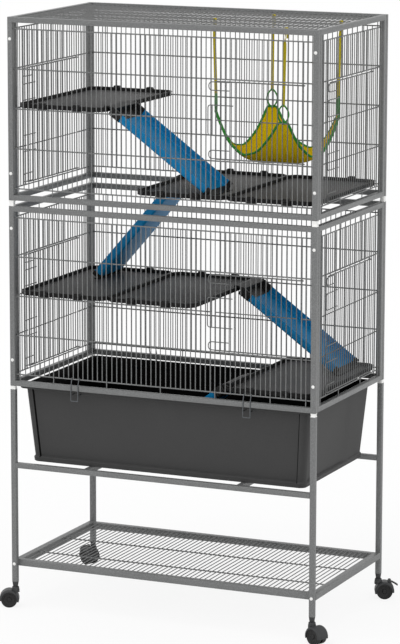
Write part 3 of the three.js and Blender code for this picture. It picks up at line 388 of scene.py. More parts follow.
# bright zinc on bent wire and caster stems: pale, slightly blue metal with a fine spangle
ZINC = finish("zinc_plated_steel", "#8d9093", "#a8abae", "noise", 3.0, 0.02, 0.35, metallic=1.0)
# the clips' wire, darker than the plated steel
CLIP_STEEL = finish("dark_clip_wire", "#55585a", "#6c6f72", "noise", 3.0, 0.02, 0.4, metallic=0.9)
# injection moulded polypropylene, spark-eroded mould: even grey with a fine dull grain
TRAY_PLASTIC = finish(
    "moulded_grey_polypropylene", "#4c4c4c", "#555555", "noise", 1.2, 0.05, 0.6, gloss=0.15
)
RIM_PLASTIC = finish(
    "moulded_black_polypropylene", "#121212", "#1b1b1b", "noise", 1.2, 0.05, 0.5, gloss=0.25
)
PAN_PLASTIC = finish(
    "thermoformed_dark_grey_sheet", "#383838", "#424242", "noise", 1.5, 0.1, 0.55, gloss=0.2
)
# painted shade: the pan's inner faces and floor drawn near-black for the shade that falls inside the pan
PAN_PAINTED_SHADE = finish(
    "pan_inside_painted_shade", "#060606", "#0b0b0b", "noise", 1.5, 0.1, 0.6, gloss=0.05
)
RAMP_PLASTIC = finish(
    "moulded_blue_polypropylene", "#006fa3", "#007fb6", "noise", 1.2, 0.04, 0.5, gloss=0.2
)
# turned and moulded nylon of the casters: dark grey hoods, nearly black wheels
HOOD_NYLON = finish("moulded_grey_nylon", "#303132", "#3a3b3c", "noise", 1.0, 0.04, 0.45)
WHEEL_NYLON = finish("moulded_black_nylon", "#191919", "#232323", "noise", 1.0, 0.04, 0.5)
# white polyethylene of the spacers and bolt caps: bright, slightly waxy
WHITE_PLASTIC = finish("white_polyethylene", "#e4e4e2", "#efefed", "noise", 1.5, 0.03, 0.45)
# woven hammock cloth, threads about 0.6 mm, drawn at 1.5 mm so that the weave can show
CLOTH = finish("woven_yellow_cotton", "#ae9400", "#d0b204", "weave", 1.5, 0.15, 0.9, gloss=0.1)
BINDING = finish("green_bias_binding", "#2a7430", "#3c8a36", "noise", 1.0, 0.08, 0.9, gloss=0.1)
WEBBING = finish("woven_yellow_webbing", "#a8981c", "#bcae2a", "cells", 1.2, 0.1, 0.85, gloss=0.1)

# ---------------------------------------------------------------- pieces


def add_piece(name, shape, material, body, replaces=(), crease=35.0, uv=None):
    """A shape as an object that rides on a CAD body, smooth except at edges sharper than the crease."""
    points, faces = shape
    mesh = bpy.data.meshes.new(name)
    mesh.from_pydata((points * MM).tolist(), [], [face for array in faces for face in array.tolist()])
    shell = bmesh.new()
    shell.from_mesh(mesh)
    bmesh.ops.recalc_face_normals(shell, faces=shell.faces)
    shell.to_mesh(mesh)
    shell.free()
    if uv is not None:
        corners = np.zeros(len(mesh.loops), int)
        mesh.loops.foreach_get("vertex_index", corners)
        layer = mesh.uv_layers.new(name="cloth")
        layer.data.foreach_set("uv", (uv[corners] * MM).astype(np.float32).ravel())
    mesh.materials.append(material)
    mesh.shade_smooth()
    mesh.set_sharp_from_angle(angle=math.radians(crease))
    piece = bpy.data.objects.new(name, mesh)
    bpy.context.scene.collection.objects.link(piece)
    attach(piece, body)
    if replaces:
        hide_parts(*replaces)
    return piece


# ---------------------------------------------------------------- wire panels, doors and latches


def row_height(row):
    """Height of a level wire above its unit's base."""
    return ROW_INSET + np.asarray(row) * ROW_STEP


def upright_x(span, gaps, i):
    """Place of upright i across a panel: its share of the inner width, from the panel's middle."""
    inner = span - 2 * TUBE
    return -inner / 2 + np.asarray(i) * inner / gaps


def panel_shape(span, gaps, long_wires, doorway=None):
    """A wire panel in X and Z: a tube frame and straight wires, each between its two ends."""
    reach = span / 2 - TUBE + WIRE_ROOT
    rows = row_height(np.arange(ROWS))
    shapes = [tube_frame(span / 2, 0, UNIT_HEIGHT, TUBE)]
    for row, z in enumerate(rows):
        y = 0 if row in (0, ROWS - 1) else ROW_DEPTH
        if doorway and doorway["bottom"] < row < doorway["top"]:
            edges = np.sort(upright_x(span, gaps, [doorway["latch"], doorway["hinge"]]))
            shapes.append(rods(at([-reach, edges[1]], y, z), at([edges[0], reach], y, z), ROW_WIRE))
        else:
            shapes.append(rods(at(-reach, y, z), at(reach, y, z), ROW_WIRE))
    i = np.arange(1, gaps)
    x = upright_x(span, gaps, i)
    opening = sorted([doorway["latch"], doorway["hinge"]]) if doorway else [-1, -1]
    edge = np.isin(i, opening)
    inside = (i > opening[0]) & (i < opening[1])
    long = np.isin(i, long_wires) & ~edge
    y = np.where(long, LONG_DEPTH, 0.0)
    low = np.where(long, TUBE - WIRE_ROOT, rows[0])
    high = np.where(long, UNIT_HEIGHT - TUBE + WIRE_ROOT, rows[-1])
    whole = ~inside & ~edge
    shapes.append(rods(at(x[whole], y[whole], low[whole]), at(x[whole], y[whole], high[whole]), WIRE))
    if doorway:
        head, sill = rows[doorway["top"]], rows[doorway["bottom"]]
        shapes.append(rods(at(x[edge], 0, rows[0]), at(x[edge], 0, rows[-1]), ROW_WIRE))
        shapes.append(rods(at(x[inside], y[inside], head), at(x[inside], y[inside], high[inside]), WIRE))
        stubs = inside if doorway["bottom"] > 0 else inside & long
        shapes.append(rods(at(x[stubs], y[stubs], low[stubs]), at(x[stubs], y[stubs], sill), WIRE))
        first, last = x[edge]
        shapes.append(rods(at(first, 0, head), at(last, 0, head), WIRE))
        if doorway["bottom"] > 0:
            shapes.append(rods(at(first, 0, sill), at(last, 0, sill), WIRE))
    return merged(shapes)


def hoop(centre, radius, wire):
    """A ring of wire round an upright line through its centre."""
    angle = around(16)
    path = np.asarray(centre) + radius * at(np.cos(angle), np.sin(angle), 0)
    return swept(path, circle(wire, 8), (0, 0, 1), closed=True)


def door_shape(span, gaps, doorway):
    """A door of straight wires, with wire eyes round the hinge wire and two looped catches."""
    inward = 1 if doorway["hinge"] > doorway["latch"] else -1
    x = upright_x(span, gaps, np.arange(doorway["latch"] + inward, doorway["hinge"], inward))
    latch_x, hinge_x = upright_x(span, gaps, [doorway["latch"], doorway["hinge"]])
    low = row_height(doorway["bottom"]) + DOOR_BAR_DROP
    high = row_height(doorway["top"]) - DOOR_BAR_DROP
    bars = np.array([low, high])
    rows = row_height(np.arange(doorway["bottom"] + 1, doorway["top"]))
    shapes = [
        rods(at(x, 0, low), at(x, 0, high), WIRE),
        rods(at(x[0], 0, bars), at(hinge_x - inward * EYE_RADIUS, 0, bars), ROW_WIRE),
        rods(at(x[0], ROW_DEPTH, rows), at(x[-1], ROW_DEPTH, rows), WIRE),
        hoop((hinge_x, 0, low), EYE_RADIUS, EYE_WIRE),
        hoop((hinge_x, 0, high), EYE_RADIUS, EYE_WIRE),
    ]
    closed = latch_x - inward * CATCH_REACH
    far = closed + inward * CATCH_LENGTH
    for z in (low + CATCH_INSET, high - CATCH_HEIGHT - CATCH_INSET):
        ends = np.array([[far, z], [closed, z], [closed, z + CATCH_HEIGHT], [far, z + CATCH_HEIGHT]])
        path = bent(at(ends[:, 0], CATCH_Y, ends[:, 1]), CATCH_BEND)
        shapes.append(swept(path, circle(LATCH_WIRE, 8), (0, 1, 0)))
    return merged(shapes)


def latch_shape(span, gaps, doorway, middle, height, length, bars):
    """A wire bolt bent like a square bracket, with further bars across it."""
    inward = 1 if doorway["hinge"] > doorway["latch"] else -1
    tip = upright_x(span, gaps, doorway["latch"]) - inward * LATCH_REACH
    end, low, high = tip + inward * length, middle - height / 2, middle + height / 2
    path = bent(at([end, tip, tip, end], LATCH_Y, [low, low, high, high]), LATCH_BEND)
    shapes = [swept(path, circle(LATCH_WIRE, 8), (0, 1, 0))]
    for bar in range(1, bars):
        x = tip + inward * bar * LATCH_BAR_STEP
        shapes.append(rods(at(x, LATCH_Y, low), at(x, LATCH_Y, high), LATCH_WIRE))
    return merged(shapes)


# each panel's turn, place, width, gaps between uprights, long uprights and doorway
SIDES = {
    "front": (0, (0, FRONT_PLANE), WIDTH, FRONT_GAPS, FRONT_LONG_WIRES, FRONT_DOORWAY),
    "back": (180, (0, -FRONT_PLANE), WIDTH, FRONT_GAPS, FRONT_LONG_WIRES, None),
    "right": (90, (SIDE_PLANE, 0), SIDE_SPAN, SIDE_GAPS, SIDE_LONG_WIRES, RIGHT_DOORWAY),
    "left": (-90, (-SIDE_PLANE, 0), SIDE_SPAN, SIDE_GAPS, SIDE_LONG_WIRES, LEFT_DOORWAY),
}
for level, base in BASE.items():
    for side, (turn, (x, y), span, gaps, long_wires, doorway) in SIDES.items():
        to = (x, y, base)
        panel = placed(panel_shape(span, gaps, long_wires, doorway), turn, to)
        node = f"{level}_{side}_panel"
        add_piece(f"{level}_{side}_wirework", panel, POWDER_COAT, "cage", [node])
        if doorway is None:
            continue
        leaf = placed(door_shape(span, gaps, doorway), turn, to)
        body = f"{level}_{side}_door"
        add_piece(f"{body}_leaf", leaf, DOOR_WIRE, body, [body])
        if side == "front":
            sizes = FRONT_LATCH
            middle = (row_height(doorway["bottom"]) + row_height(doorway["top"])) / 2
            middles = {f"{level}_front_latch": middle}
        else:
            sizes = SIDE_LATCH
            middles = {
                f"{level}_{side}_latch_{place}": row_height(row) + rise
                for place, (row, rise) in SIDE_LATCH_PLACES.items()
            }
        for latch, middle in middles.items():
            bolt = placed(latch_shape(span, gaps, doorway, middle, **sizes), turn, to)
            add_piece(f"{latch}_bolt", bolt, DOOR_WIRE, latch, [latch])


def grille_shape():
    """The wire top: a bordered rectangle with wires from front to back over five long ones."""
    x = WIDTH / 2 - TUBE - SEAT - GRILLE_WIRE / 2
    y = INNER_Y - SEAT - GRILLE_WIRE / 2
    border = rounded_outline(at([x, -x, -x, x], [y, y, -y, -y], 0), GRILLE_CORNER)
    across = upright_x(WIDTH, FRONT_GAPS, np.arange(1, FRONT_GAPS))
    rows = -y + 2 * y * np.arange(1, GRILLE_ROWS + 1) / (GRILLE_ROWS + 1)
    under = -(WIRE + ROW_WIRE) / 2 + WELD_DEPTH
    return merged(
        [
            swept(border, circle(GRILLE_WIRE), (0, 0, 1), closed=True),
            rods(at(across, -y, 0), at(across, y, 0), WIRE),
            rods(at(-x, rows, under), at(x, rows, under), ROW_WIRE),
        ]
    )


grille = placed(grille_shape(), 0, (0, 0, GRILLE_Z))
add_piece("top_wirework", grille, COATED_WIRE, "cage", ["top_grille"])

# ---------------------------------------------------------------- stand

PLUG_HEIGHT = 12
SPACER_WAIST = 1.4  # how far a spacer is drawn in between its flanges
SPACER_EDGE = 2
CAP_RADIUS = 3.9
CAP_RISE = 2.2
CAP_HEIGHTS = (105.5, 600.3, 913.5, 1042.5, 1356.5)
SHELF_TUBE = 16
SHELF_ROWS = (-105, 40)


def upright_tube(x, bottom, top):
    """A length of square tube standing at X: its eased section at both heights."""
    section = TUBE_SECTION + [x, 0]
    return lofted([section, section], [bottom, top])


def leg_frame_shape():
    """Two legs, with a level bar between them: its section in Y and Z at both of its ends."""
    y, z = TUBE_SECTION.T
    end = POST_X - TUBE / 2
    bar = capped(np.stack([at(x, y, MID_BAR_TOP - TUBE / 2 + z) for x in (-end, end)]))
    bottom, top = LEG_END + PLUG_HEIGHT, BASE["lower"] - STAND_GAP
    return merged([bar, upright_tube(-POST_X, bottom, top), upright_tube(POST_X, bottom, top)])


def leg_plug_shape(x):
    """The tapered plug in a leg's end, from the leg's size down to three quarters of it."""
    sizes = [(TUBE - 1.0, 1.6), (TUBE - 0.4, 1.6), (9.8, 1.4), (9.2, 1.2)]
    heights = [LEG_END + PLUG_HEIGHT + 1, LEG_END + PLUG_HEIGHT, LEG_END + 0.8, LEG_END]
    return lofted([eased_rectangle(size, size, edge) + [x, 0] for size, edge in sizes], heights)


def spacer_shape(x, bottom, top):
    """A square plug between two stacked tubes, a little drawn in between its two flanges."""
    sizes = TUBE - SPACER_WAIST * np.array([0, 0, 1, 1, 0, 0])
    shares = np.array([0, 0.18, 0.28, 0.72, 0.82, 1])
    outlines = [eased_rectangle(size, size, SPACER_EDGE) + [x, 0] for size in sizes]
    return lofted(outlines, bottom + shares * (top - bottom))


def bolt_cap_shape(x, z):
    """A domed cap on a tube's outer face: radius times the square root of one less its height squared."""
    rise = np.array([0, 0.25, 0.5, 0.75, 0.93])
    profile = np.stack([CAP_RADIUS * np.sqrt(1 - rise**2), CAP_RISE * rise], axis=-1)
    return revolved(profile, (x, -TUBE / 2, z), (0, -1, 0), 20)


def shelf_shape():
    """The low shelf: a flat tube frame with wires from front to back over two long ones."""
    y = INNER_Y - SEAT
    border = placed(laid_flat(tube_frame(WIDTH / 2, -y, y, SHELF_TUBE)), 0, (0, 0, SHELF_TUBE / 2))
    inner = WIDTH / 2 - SHELF_TUBE
    x = np.linspace(-inner, inner, FRONT_GAPS + 1)[1:-1]
    top = SHELF_TUBE - WIRE
    end = y - SHELF_TUBE + WIRE_ROOT
    under = top - (WIRE + ROW_WIRE) / 2 + WELD_DEPTH
    wires = rods(at(x, -end, top), at(x, end, top), WIRE)
    rows = rods(at(-inner, SHELF_ROWS, under), at(inner, SHELF_ROWS, under), ROW_WIRE)
    return merged([border, wires, rows])


spacer_gaps = [
    (BASE["lower"] - STAND_GAP, BASE["lower"] - SEAT),
    (BASE["lower"] + UNIT_HEIGHT, BASE["upper"] - SEAT),
]
posts = (-POST_X, POST_X)
for end, (turn, y) in ENDS.items():
    plugs = merged([leg_plug_shape(x) for x in posts])
    spacers = merged([spacer_shape(x, *gap) for x in posts for gap in spacer_gaps])
    caps = merged([bolt_cap_shape(x, z) for x in posts for z in CAP_HEIGHTS])
    stand_pieces = {
        "legs": (leg_frame_shape(), POWDER_COAT, [f"{end}_leg_frame"]),
        "leg_plugs": (plugs, HOOD_NYLON, []),
        "spacers": (spacers, WHITE_PLASTIC, []),
        "bolt_caps": (caps, WHITE_PLASTIC, []),
    }
    for name, (shape, material, nodes) in stand_pieces.items():
        shape = placed(shape, turn, (0, y, 0))
        add_piece(f"{end}_{name}", shape, material, "cage", nodes)

for name, x in (("left_cross_bar", -CROSS_BAR_X), ("right_cross_bar", CROSS_BAR_X)):
    bar = extruded(TUBE_SECTION + [x, MID_BAR_TOP - TUBE / 2], SEAT - INNER_Y, INNER_Y - SEAT)
    add_piece(f"{name}_tube", bar, POWDER_COAT, "cage", [name])

shelf = placed(shelf_shape(), 0, (0, 0, SHELF_BASE))
add_piece("low_shelf_wirework", shelf, POWDER_COAT, "cage", ["storage_shelf"])

# ---------------------------------------------------------------- pan and clips

PAN_WALL = 3.5
PAN_RIM_OUT = np.array([11, 8.5])  # past the short sides and past the long ones
PAN_RIM_HEIGHT = 6
PAN_TAPER = 16  # how far each side draws in from the rim down to the base
PAN_HEIGHT = pan_high[2] - pan_low[2]
PAN_UNDER = PAN_HEIGHT - PAN_RIM_HEIGHT
PAN_BAND = 11  # height of the plain band round the base
PAN_DENT = 3.5  # how far the sides lie back between the corners
# on each side in turn, from the rear one round by the left: how far its dent starts and ends from a
# corner's arc, and how wide the slope into it is; only the short sides' rear ends are broad
PAN_COLUMNS = [(2, 2, 3, 3), (95, 2, 22, 3), (2, 2, 3, 3), (2, 95, 3, 22)]


def pan_ring(grow, height, corner, dent, steps=9):
    """One level of the pan: a rounded rectangle whose sides lie back by a dent between the corners.

    Its half sizes are those under the rim, less the taper's share of the way down, plus grow. Corner
    points are centre + corner * (cos a, sin a), and each side adds four points, two of them dented.
    """
    share = min(height / PAN_UNDER, 1)
    half = pan_high[:2] - PAN_RIM_OUT - PAN_TAPER * (1 - share) + grow
    ring = []
    for quarter in range(4):
        length, out = half if quarter % 2 == 0 else half[::-1]
        angle = np.linspace(0, np.pi / 2, steps)
        centre = np.array([length - corner, out - corner])
        arc = centre + corner * np.stack([np.cos(angle), np.sin(angle)], axis=-1)
        first, last, slope_in, slope_out = PAN_COLUMNS[quarter]
        start, stop = length - corner - first, corner + last - length
        dented = out - dent
        side = [[start, out], [start - slope_in, dented], [stop + slope_out, dented], [stop, out]]
        c, s = [(1, 0), (0, 1), (-1, 0), (0, -1)][quarter]
        ring.append(np.concatenate([arc, side]) @ np.array([[c, s], [-s, c]]))
    return at(*np.concatenate(ring).T, height)


def pan_shape():
    """The pan's skin, ring by ring: up the outside, over the rim and down the inside to the floor."""
    height, rim = PAN_HEIGHT, PAN_RIM_OUT
    # how far each ring grows, its height, its corners' radius and its dent
    levels = [
        (1.0, 0, 14, 0),
        (3.0, 1.6, 16, 0),
        (3.0, PAN_BAND - 0.8, 16, 0),
        (2.2, PAN_BAND, 16, 0),
        (0.0, PAN_BAND + 2.5, 15, PAN_DENT),
        (0.0, PAN_UNDER - 6, 18, PAN_DENT),
        (0.0, PAN_UNDER, 18, 0),
        (rim - 1.6, PAN_UNDER, 14, 0),
        (rim, PAN_UNDER + 1.4, 14, 0),
        (rim, height - 1.6, 14, 0),
        (rim - 1.4, height, 14, 0),
        (rim - 5.5, height, 18, 0),
        (rim - 6.3, height - 1.0, 19, 0),
        (-PAN_WALL + 1.2, height - 1.4, 16, 0),
        (-PAN_WALL, height - 3.2, 15.5, 0),
        (-PAN_WALL, PAN_UNDER - 12, 15, PAN_DENT),
        (-PAN_WALL, PAN_BAND + 7, 13, PAN_DENT),
        (-PAN_WALL - 1.2, PAN_BAND, 12, 1.5),
        (-PAN_WALL - 5, PAN_WALL + 1.2, 11, 0),
        (-PAN_WALL - 9, PAN_WALL, 10, 0),
    ]
    rings = [pan_ring(grow, level, corner, dent) for grow, level, corner, dent in levels]
    return placed(capped(np.stack(rings)), 0, (0, 0, pan_low[2]))


pan = add_piece("pull_out_pan", pan_shape(), PAN_PLASTIC, "pan", ["pan"], crease=28)
# the pan's second material is the painted shade inside it
pan.data.materials.append(PAN_PAINTED_SHADE)
# the painted shade goes on the faces inside the rim, and on the floor: those that look up or in towards the
# middle
middles = np.empty(3 * len(pan.data.polygons))
normals = np.empty_like(middles)
pan.data.polygons.foreach_get("center", middles)
pan.data.polygons.foreach_get("normal", normals)
middles, normals = middles.reshape(-1, 3), normals.reshape(-1, 3)
inward_painted_shade_faces = (middles[:, :2] * normals[:, :2]).sum(axis=1) < -1e-4
floor_painted_shade_faces = (normals[:, 2] > 0.9) & (middles[:, 2] < (pan_low[2] + PAN_BAND) * MM)
pan.data.polygons.foreach_set("material_index", (inward_painted_shade_faces | floor_painted_shade_faces).astype(int))

CLIP_WIRE = 2.4
CLIP_HALF = 9.0
CLIP_PLACE = 17.5 * PITCH
CLIP_DROP = 14.4  # from its pegs down to its low bar
CLIP_GRIP = 3.5  # how far its pegs reach in under the rim


def clip_shape():
    """A wire bail: a low bar, legs up the rail's face and over the lowest level wire, and two pegs.

    The bail is one wire along a bent path. Each peg runs from a leg in under the pan's rim.
    """
    face = -TUBE / 2 - SEAT - CLIP_WIRE / 2
    peg = pan_low[2] + PAN_UNDER - SEAT - CLIP_WIRE / 2
    wire_z = BASE["lower"] + ROW_INSET + (ROW_WIRE + CLIP_WIRE) / 2 + 0.1
    rail_z = BASE["lower"] + TUBE
    y = np.array([1.9, 1.6, -1.6, face, face])
    z = np.array([wire_z - CLIP_WIRE, wire_z, wire_z, rail_z - 1, peg - CLIP_DROP])
    half = CLIP_HALF
    leg_path = np.concatenate([at(-half, y, z), at(half, y[::-1], z[::-1])])
    bail = swept(bent(leg_path, 1.4, 4), circle(CLIP_WIRE, 8), (0.02, 1, 0.3))
    rim_y = -FRONT_PLANE - pan_high[1] + CLIP_GRIP
    pegs = rods(at([-half, half], face, peg), at([-half, half], rim_y, peg), CLIP_WIRE)
    return merged([bail, pegs])


for end, (turn, y) in ENDS.items():
    body = "pan" if end == "front" else "cage"
    for side, x in (("left", -CLIP_PLACE), ("right", CLIP_PLACE)):
        node = f"{end}_{side}_pan_clip"
        clip = placed(clip_shape(), turn, (x, y, 0))
        add_piece(f"{node}_wire", clip, CLIP_STEEL, body, [node])

# ---------------------------------------------------------------- trays

TRAY_HALF = 18 * PITCH / 2 - SEAT
TRAY_END = INNER_Y - 7.3
TRAY_CORNER = 16  # along each side, what its cut corner takes
RIM_TOP = 12
DECK_TOP = 4
RIB_STEP = 11
RIB_HALF = 1.7
RIB_OUT = 2
RIB_LOW = 1.2
RIB_HIGH = 10.4
HOOK_X = 3.5 * PITCH
HOOK_CLEAR = 14  # no rib stands nearer to a hook's middle
BOSS_OUT = 6
NOSE_OUT = 1.4  # past the wire's middle
WIRE_BACK = 3.4  # how much nearer a tray is to a level wire that lies behind the uprights


def tray_outline(margin):
    """The tray's outline with cut corners, drawn in by a margin, its eight corners slightly rounded."""
    x, y = TRAY_HALF - margin, TRAY_END - margin
    # a cut side moves in as far as the others when its cut shrinks by about 0.6 of the margin
    cut = TRAY_CORNER - margin * 0.6
    half = np.array([[x - cut, -y], [x, cut - y], [x, y - cut], [x - cut, y]])
    return rounded_outline(np.concatenate([half, -half]), 3.5, 4)


def tray_deck_shape():
    """The tray's plate: the outline at its underside and, drawn in, at its top."""
    return lofted([tray_outline(margin) for margin in (3, 3, 3.8)], (1.1, DECK_TOP - 0.6, DECK_TOP))


def tray_rim_shape(row):
    """The tray's rim: a wall with a lip along its top, ribs 11 mm apart, and bosses with hook noses.

    The wall is a closed profile of margins and heights, carried round the tray's outline.
    """
    profile = [(1.3, 1), (1.3, 10.2), (0, 10.6), (0, RIM_TOP - 0.5), (0.5, RIM_TOP), (2.8, RIM_TOP)]
    profile += [(3.2, RIM_TOP - 0.5), (3.2, 1)]
    rings = [at(*tray_outline(margin).T, z) for margin, z in profile]
    shapes = [grid(np.stack(rings), True, True)]
    side = np.arange(-TRAY_END + TRAY_CORNER + 6, TRAY_END - TRAY_CORNER - 5, RIB_STEP)
    end = np.arange(-TRAY_HALF + TRAY_CORNER + 7, TRAY_HALF - TRAY_CORNER - 6, RIB_STEP)
    end = end[np.abs(np.abs(end) - HOOK_X) > HOOK_CLEAR]
    for sign in (-1, 1):
        x = np.sort([sign * TRAY_HALF, sign * (TRAY_HALF - RIB_OUT)])
        y = np.sort([sign * TRAY_END, sign * (TRAY_END - RIB_OUT)])
        shapes.append(blocks(at(x[0], side - RIB_HALF, RIB_LOW), at(x[1], side + RIB_HALF, RIB_HIGH)))
        shapes.append(blocks(at(end - RIB_HALF, y[0], RIB_LOW), at(end + RIB_HALF, y[1], RIB_HIGH)))
    wire_y = -FRONT_PLANE - (0 if row == 0 else WIRE_BACK)
    boss = rounded_outline([[-12.5, -2], [12.5, -2], [7.3, 16], [-7.3, 16]], 1.6, 3)
    nose = rounded_outline([[-4, 1.9], [4, 1.9], [4, 5.9], [-4, 5.9]], 0.8, 3)
    for sign in (-1, 1):
        for x in (-HOOK_X, HOOK_X):
            for outline, reach in ((boss, TRAY_END + BOSS_OUT), (nose, wire_y + NOSE_OUT)):
                ends = np.sort([sign * (TRAY_END - 1), sign * reach])
                shapes.append(extruded(outline + [x, 0], *ends))
    return merged(shapes)


# how many pitches from the middle, the unit, and the level wire that carries it
TRAYS = {
    "upper_left_tray": (-21, "upper", 2),
    "upper_middle_tray": (3, "upper", 0),
    "upper_right_tray": (21, "upper", 0),
    "lower_left_tray": (-21, "lower", 2),
    "lower_middle_tray": (-3, "lower", 2),
    "lower_right_tray": (21, "lower", 0),
}
for node, (steps, level, row) in TRAYS.items():
    to = (steps * PITCH, 0, BASE[level] + row_height(row))
    deck, rim = placed(tray_deck_shape(), 0, to), placed(tray_rim_shape(row), 0, to)
    add_piece(f"{node}_deck", deck, TRAY_PLASTIC, "cage", [node])
    add_piece(f"{node}_rim", rim, RIM_PLASTIC, "cage", crease=25)

# ---------------------------------------------------------------- ramps

RAMP_HALF = 63
RAMP_WALL = 3
RAMP_BELOW = 10
RAMP_ABOVE = 10
SHORT_RAMP = 318
LONG_RAMP = 340
RAMP_MARGIN = 17  # from a tray's end to the ramp's side
PAN_MARGIN = 2  # from the pan's floor's edge to the ramp's side
BRACKET_START = 13
BRACKET_LENGTH = 30
RIDGE_STEP = 5
FOOT_LENGTH = 11


def on_slope(along, across, above, slope):
    """Points down a slope: along and above, turned by the slope about the hook."""
    c, s = math.cos(slope), math.sin(slope)
    return at(along * c + above * s, across, -along * s + above * c)


def trough_section(out, under, lip, inside):
    """A U section, across and above: walls, floor and rounded corners, grown by so much on each face."""
    half, low, high = RAMP_HALF + out, -RAMP_BELOW - under, RAMP_ABOVE + lip
    inner, floor = RAMP_HALF - RAMP_WALL - inside, -RAMP_BELOW + RAMP_WALL + inside
    corners = [[-half, high], [-half, low], [half, low], [half, high]]
    corners += [[inner, high], [inner, floor], [-inner, floor], [-inner, high]]
    return rounded_outline(corners, [1, 7, 7, 1, 1, 5, 5, 1], 5)


def trough(sections, alongs, slope):
    """A skin through U sections, each so far down the slope."""
    return capped(np.stack([on_slope(x, s[:, 0], s[:, 1], slope) for s, x in zip(sections, alongs)]))


def ramp_shapes(length, drop):
    """The blue trough and its black ends: a ribbed bracket with a hook plate, and a foot.

    The slope a, at which the foot just stands, solves length * sin a + RAMP_BELOW * cos a = drop - SEAT.
    """
    slope = math.asin((drop - SEAT) / math.hypot(length, RAMP_BELOW)) - math.atan2(RAMP_BELOW, length)
    bracket_end = BRACKET_START + BRACKET_LENGTH
    foot_start = length - FOOT_LENGTH
    plain = trough_section(0, 0, 0, 0)
    blue = trough([plain, plain], [bracket_end - 6, foot_start + 3], slope)
    # the bracket swells and draws in at each ridge
    alongs = np.arange(BRACKET_START, bracket_end + 0.1, RIDGE_STEP / 2)
    swell = np.where(np.arange(len(alongs)) % 2 == 0, 1.8, 0.8)
    bracket = trough([trough_section(out, out, 0.8, 0.8) for out in swell], alongs, slope)
    thick, thin = trough_section(0.8, 0, 0.8, 0.8), trough_section(0.2, 0, 0, 0)
    foot = trough([thick, thick, thin], [foot_start, length - 3, length], slope)

    def point(along, above):
        """A point of the slope, in X and Z."""
        return on_slope(along, 0.0, above, slope)[[0, 2]]

    start, under = BRACKET_START, -RAMP_BELOW
    hook = [[-6, -3], [-4, -3], [-4, 0.7], [4, 0.7], point(start, 2), point(start, under)]
    hook += [point(start + 5, under), point(start + 5, RAMP_ABOVE), [4, 3.4], [-6, 3.4]]
    width = RAMP_HALF - 0.5
    plate = extruded(rounded_outline(hook, 0.5, 2), -width, width)
    x, z = point(length, under)
    pad = [point(length - 12, under + 0.2), [x - 0.1, z], [x + 10, z], [x + 10, z + 2], [x + 8, z + 3]]
    pad += [point(length - 0.2, under + 5), point(length - 12, under + 5)]
    toe = extruded(pad, -width, width)
    return blue, merged([bracket, plate, foot, toe])


def rim_top(level, row):
    """Height over the ground of the rim of a tray that hangs on a level wire of a unit."""
    return BASE[level] + row_height(row) + RIM_TOP


def deck_top(level, row):
    """Height over the ground of the deck of a tray that hangs on a level wire of a unit."""
    return BASE[level] + row_height(row) + DECK_TOP


def tray_edge(steps, side):
    """Where a ramp hooks on: the middle of a tray's rim, on one side of it."""
    return steps * PITCH + side * (TRAY_HALF - 1.5)


RAMP_Y = TRAY_END - RAMP_MARGIN - RAMP_HALF
PAN_FLOOR_Y = pan_high[1] - PAN_RIM_OUT[1] - PAN_TAPER - PAN_WALL - PAN_DENT
PAN_RAMP_Y = PAN_FLOOR_Y - PAN_MARGIN - RAMP_HALF
PAN_FLOOR = pan_low[2] + PAN_WALL
# each ramp's length, its tray's pitches from the middle, the way it runs down, the Y of its middle,
# and the heights that it runs from and to
RAMPS = {
    "upper_front_ramp": (SHORT_RAMP, -21, 1, -RAMP_Y, rim_top("upper", 2), deck_top("upper", 0)),
    "upper_rear_ramp": (LONG_RAMP, 3, -1, RAMP_Y, rim_top("upper", 0), deck_top("lower", 2)),
    "lower_rear_ramp": (SHORT_RAMP, -3, 1, RAMP_Y, rim_top("lower", 2), deck_top("lower", 0)),
    "lower_front_ramp": (LONG_RAMP, 21, -1, -PAN_RAMP_Y, rim_top("lower", 0), PAN_FLOOR),
}
for node, (length, steps, side, y, top, bottom) in RAMPS.items():
    x, turn = tray_edge(steps, side), 0 if side > 0 else 180
    blue, black = (placed(shape, turn, (x, y, top)) for shape in ramp_shapes(length, top - bottom))
    add_piece(f"{node}_trough", blue, RAMP_PLASTIC, node, [node])
    add_piece(f"{node}_ends", black, RIM_PLASTIC, node, crease=25)

# ---------------------------------------------------------------- casters
# each is made under its leg's axis, with X the way it trails

TRAIL = 15
WHEEL_RADIUS = 19.5
WHEEL_NEAR = 2.8
WHEEL_FAR = 14.8
HOOD_RADIUS = 23.5
HOOD_SIDE = WHEEL_FAR + 1.6
HOOD_LIP = 18.0
HOOD_WALL = 1.2
WEB_RADIUS = 21.8
WEB_HALF = 2.2
BRAKE_REACH = 12
BRAKE_RISE = 3.5
BRAKE_TILT = 24
BRAKE_X = TRAIL + BRAKE_REACH
BRAKE_Z = WHEEL_RADIUS + math.sqrt(HOOD_RADIUS**2 - BRAKE_REACH**2) + BRAKE_RISE


def arc_points(radius, across, angles):
    """Points round the wheel's middle: radius * (cos a, sin a) in X and Z, across in Y, for each angle."""
    angles = np.radians(angles)[:, None]
    return at(TRAIL + radius * np.cos(angles), across, WHEEL_RADIUS + radius * np.sin(angles))


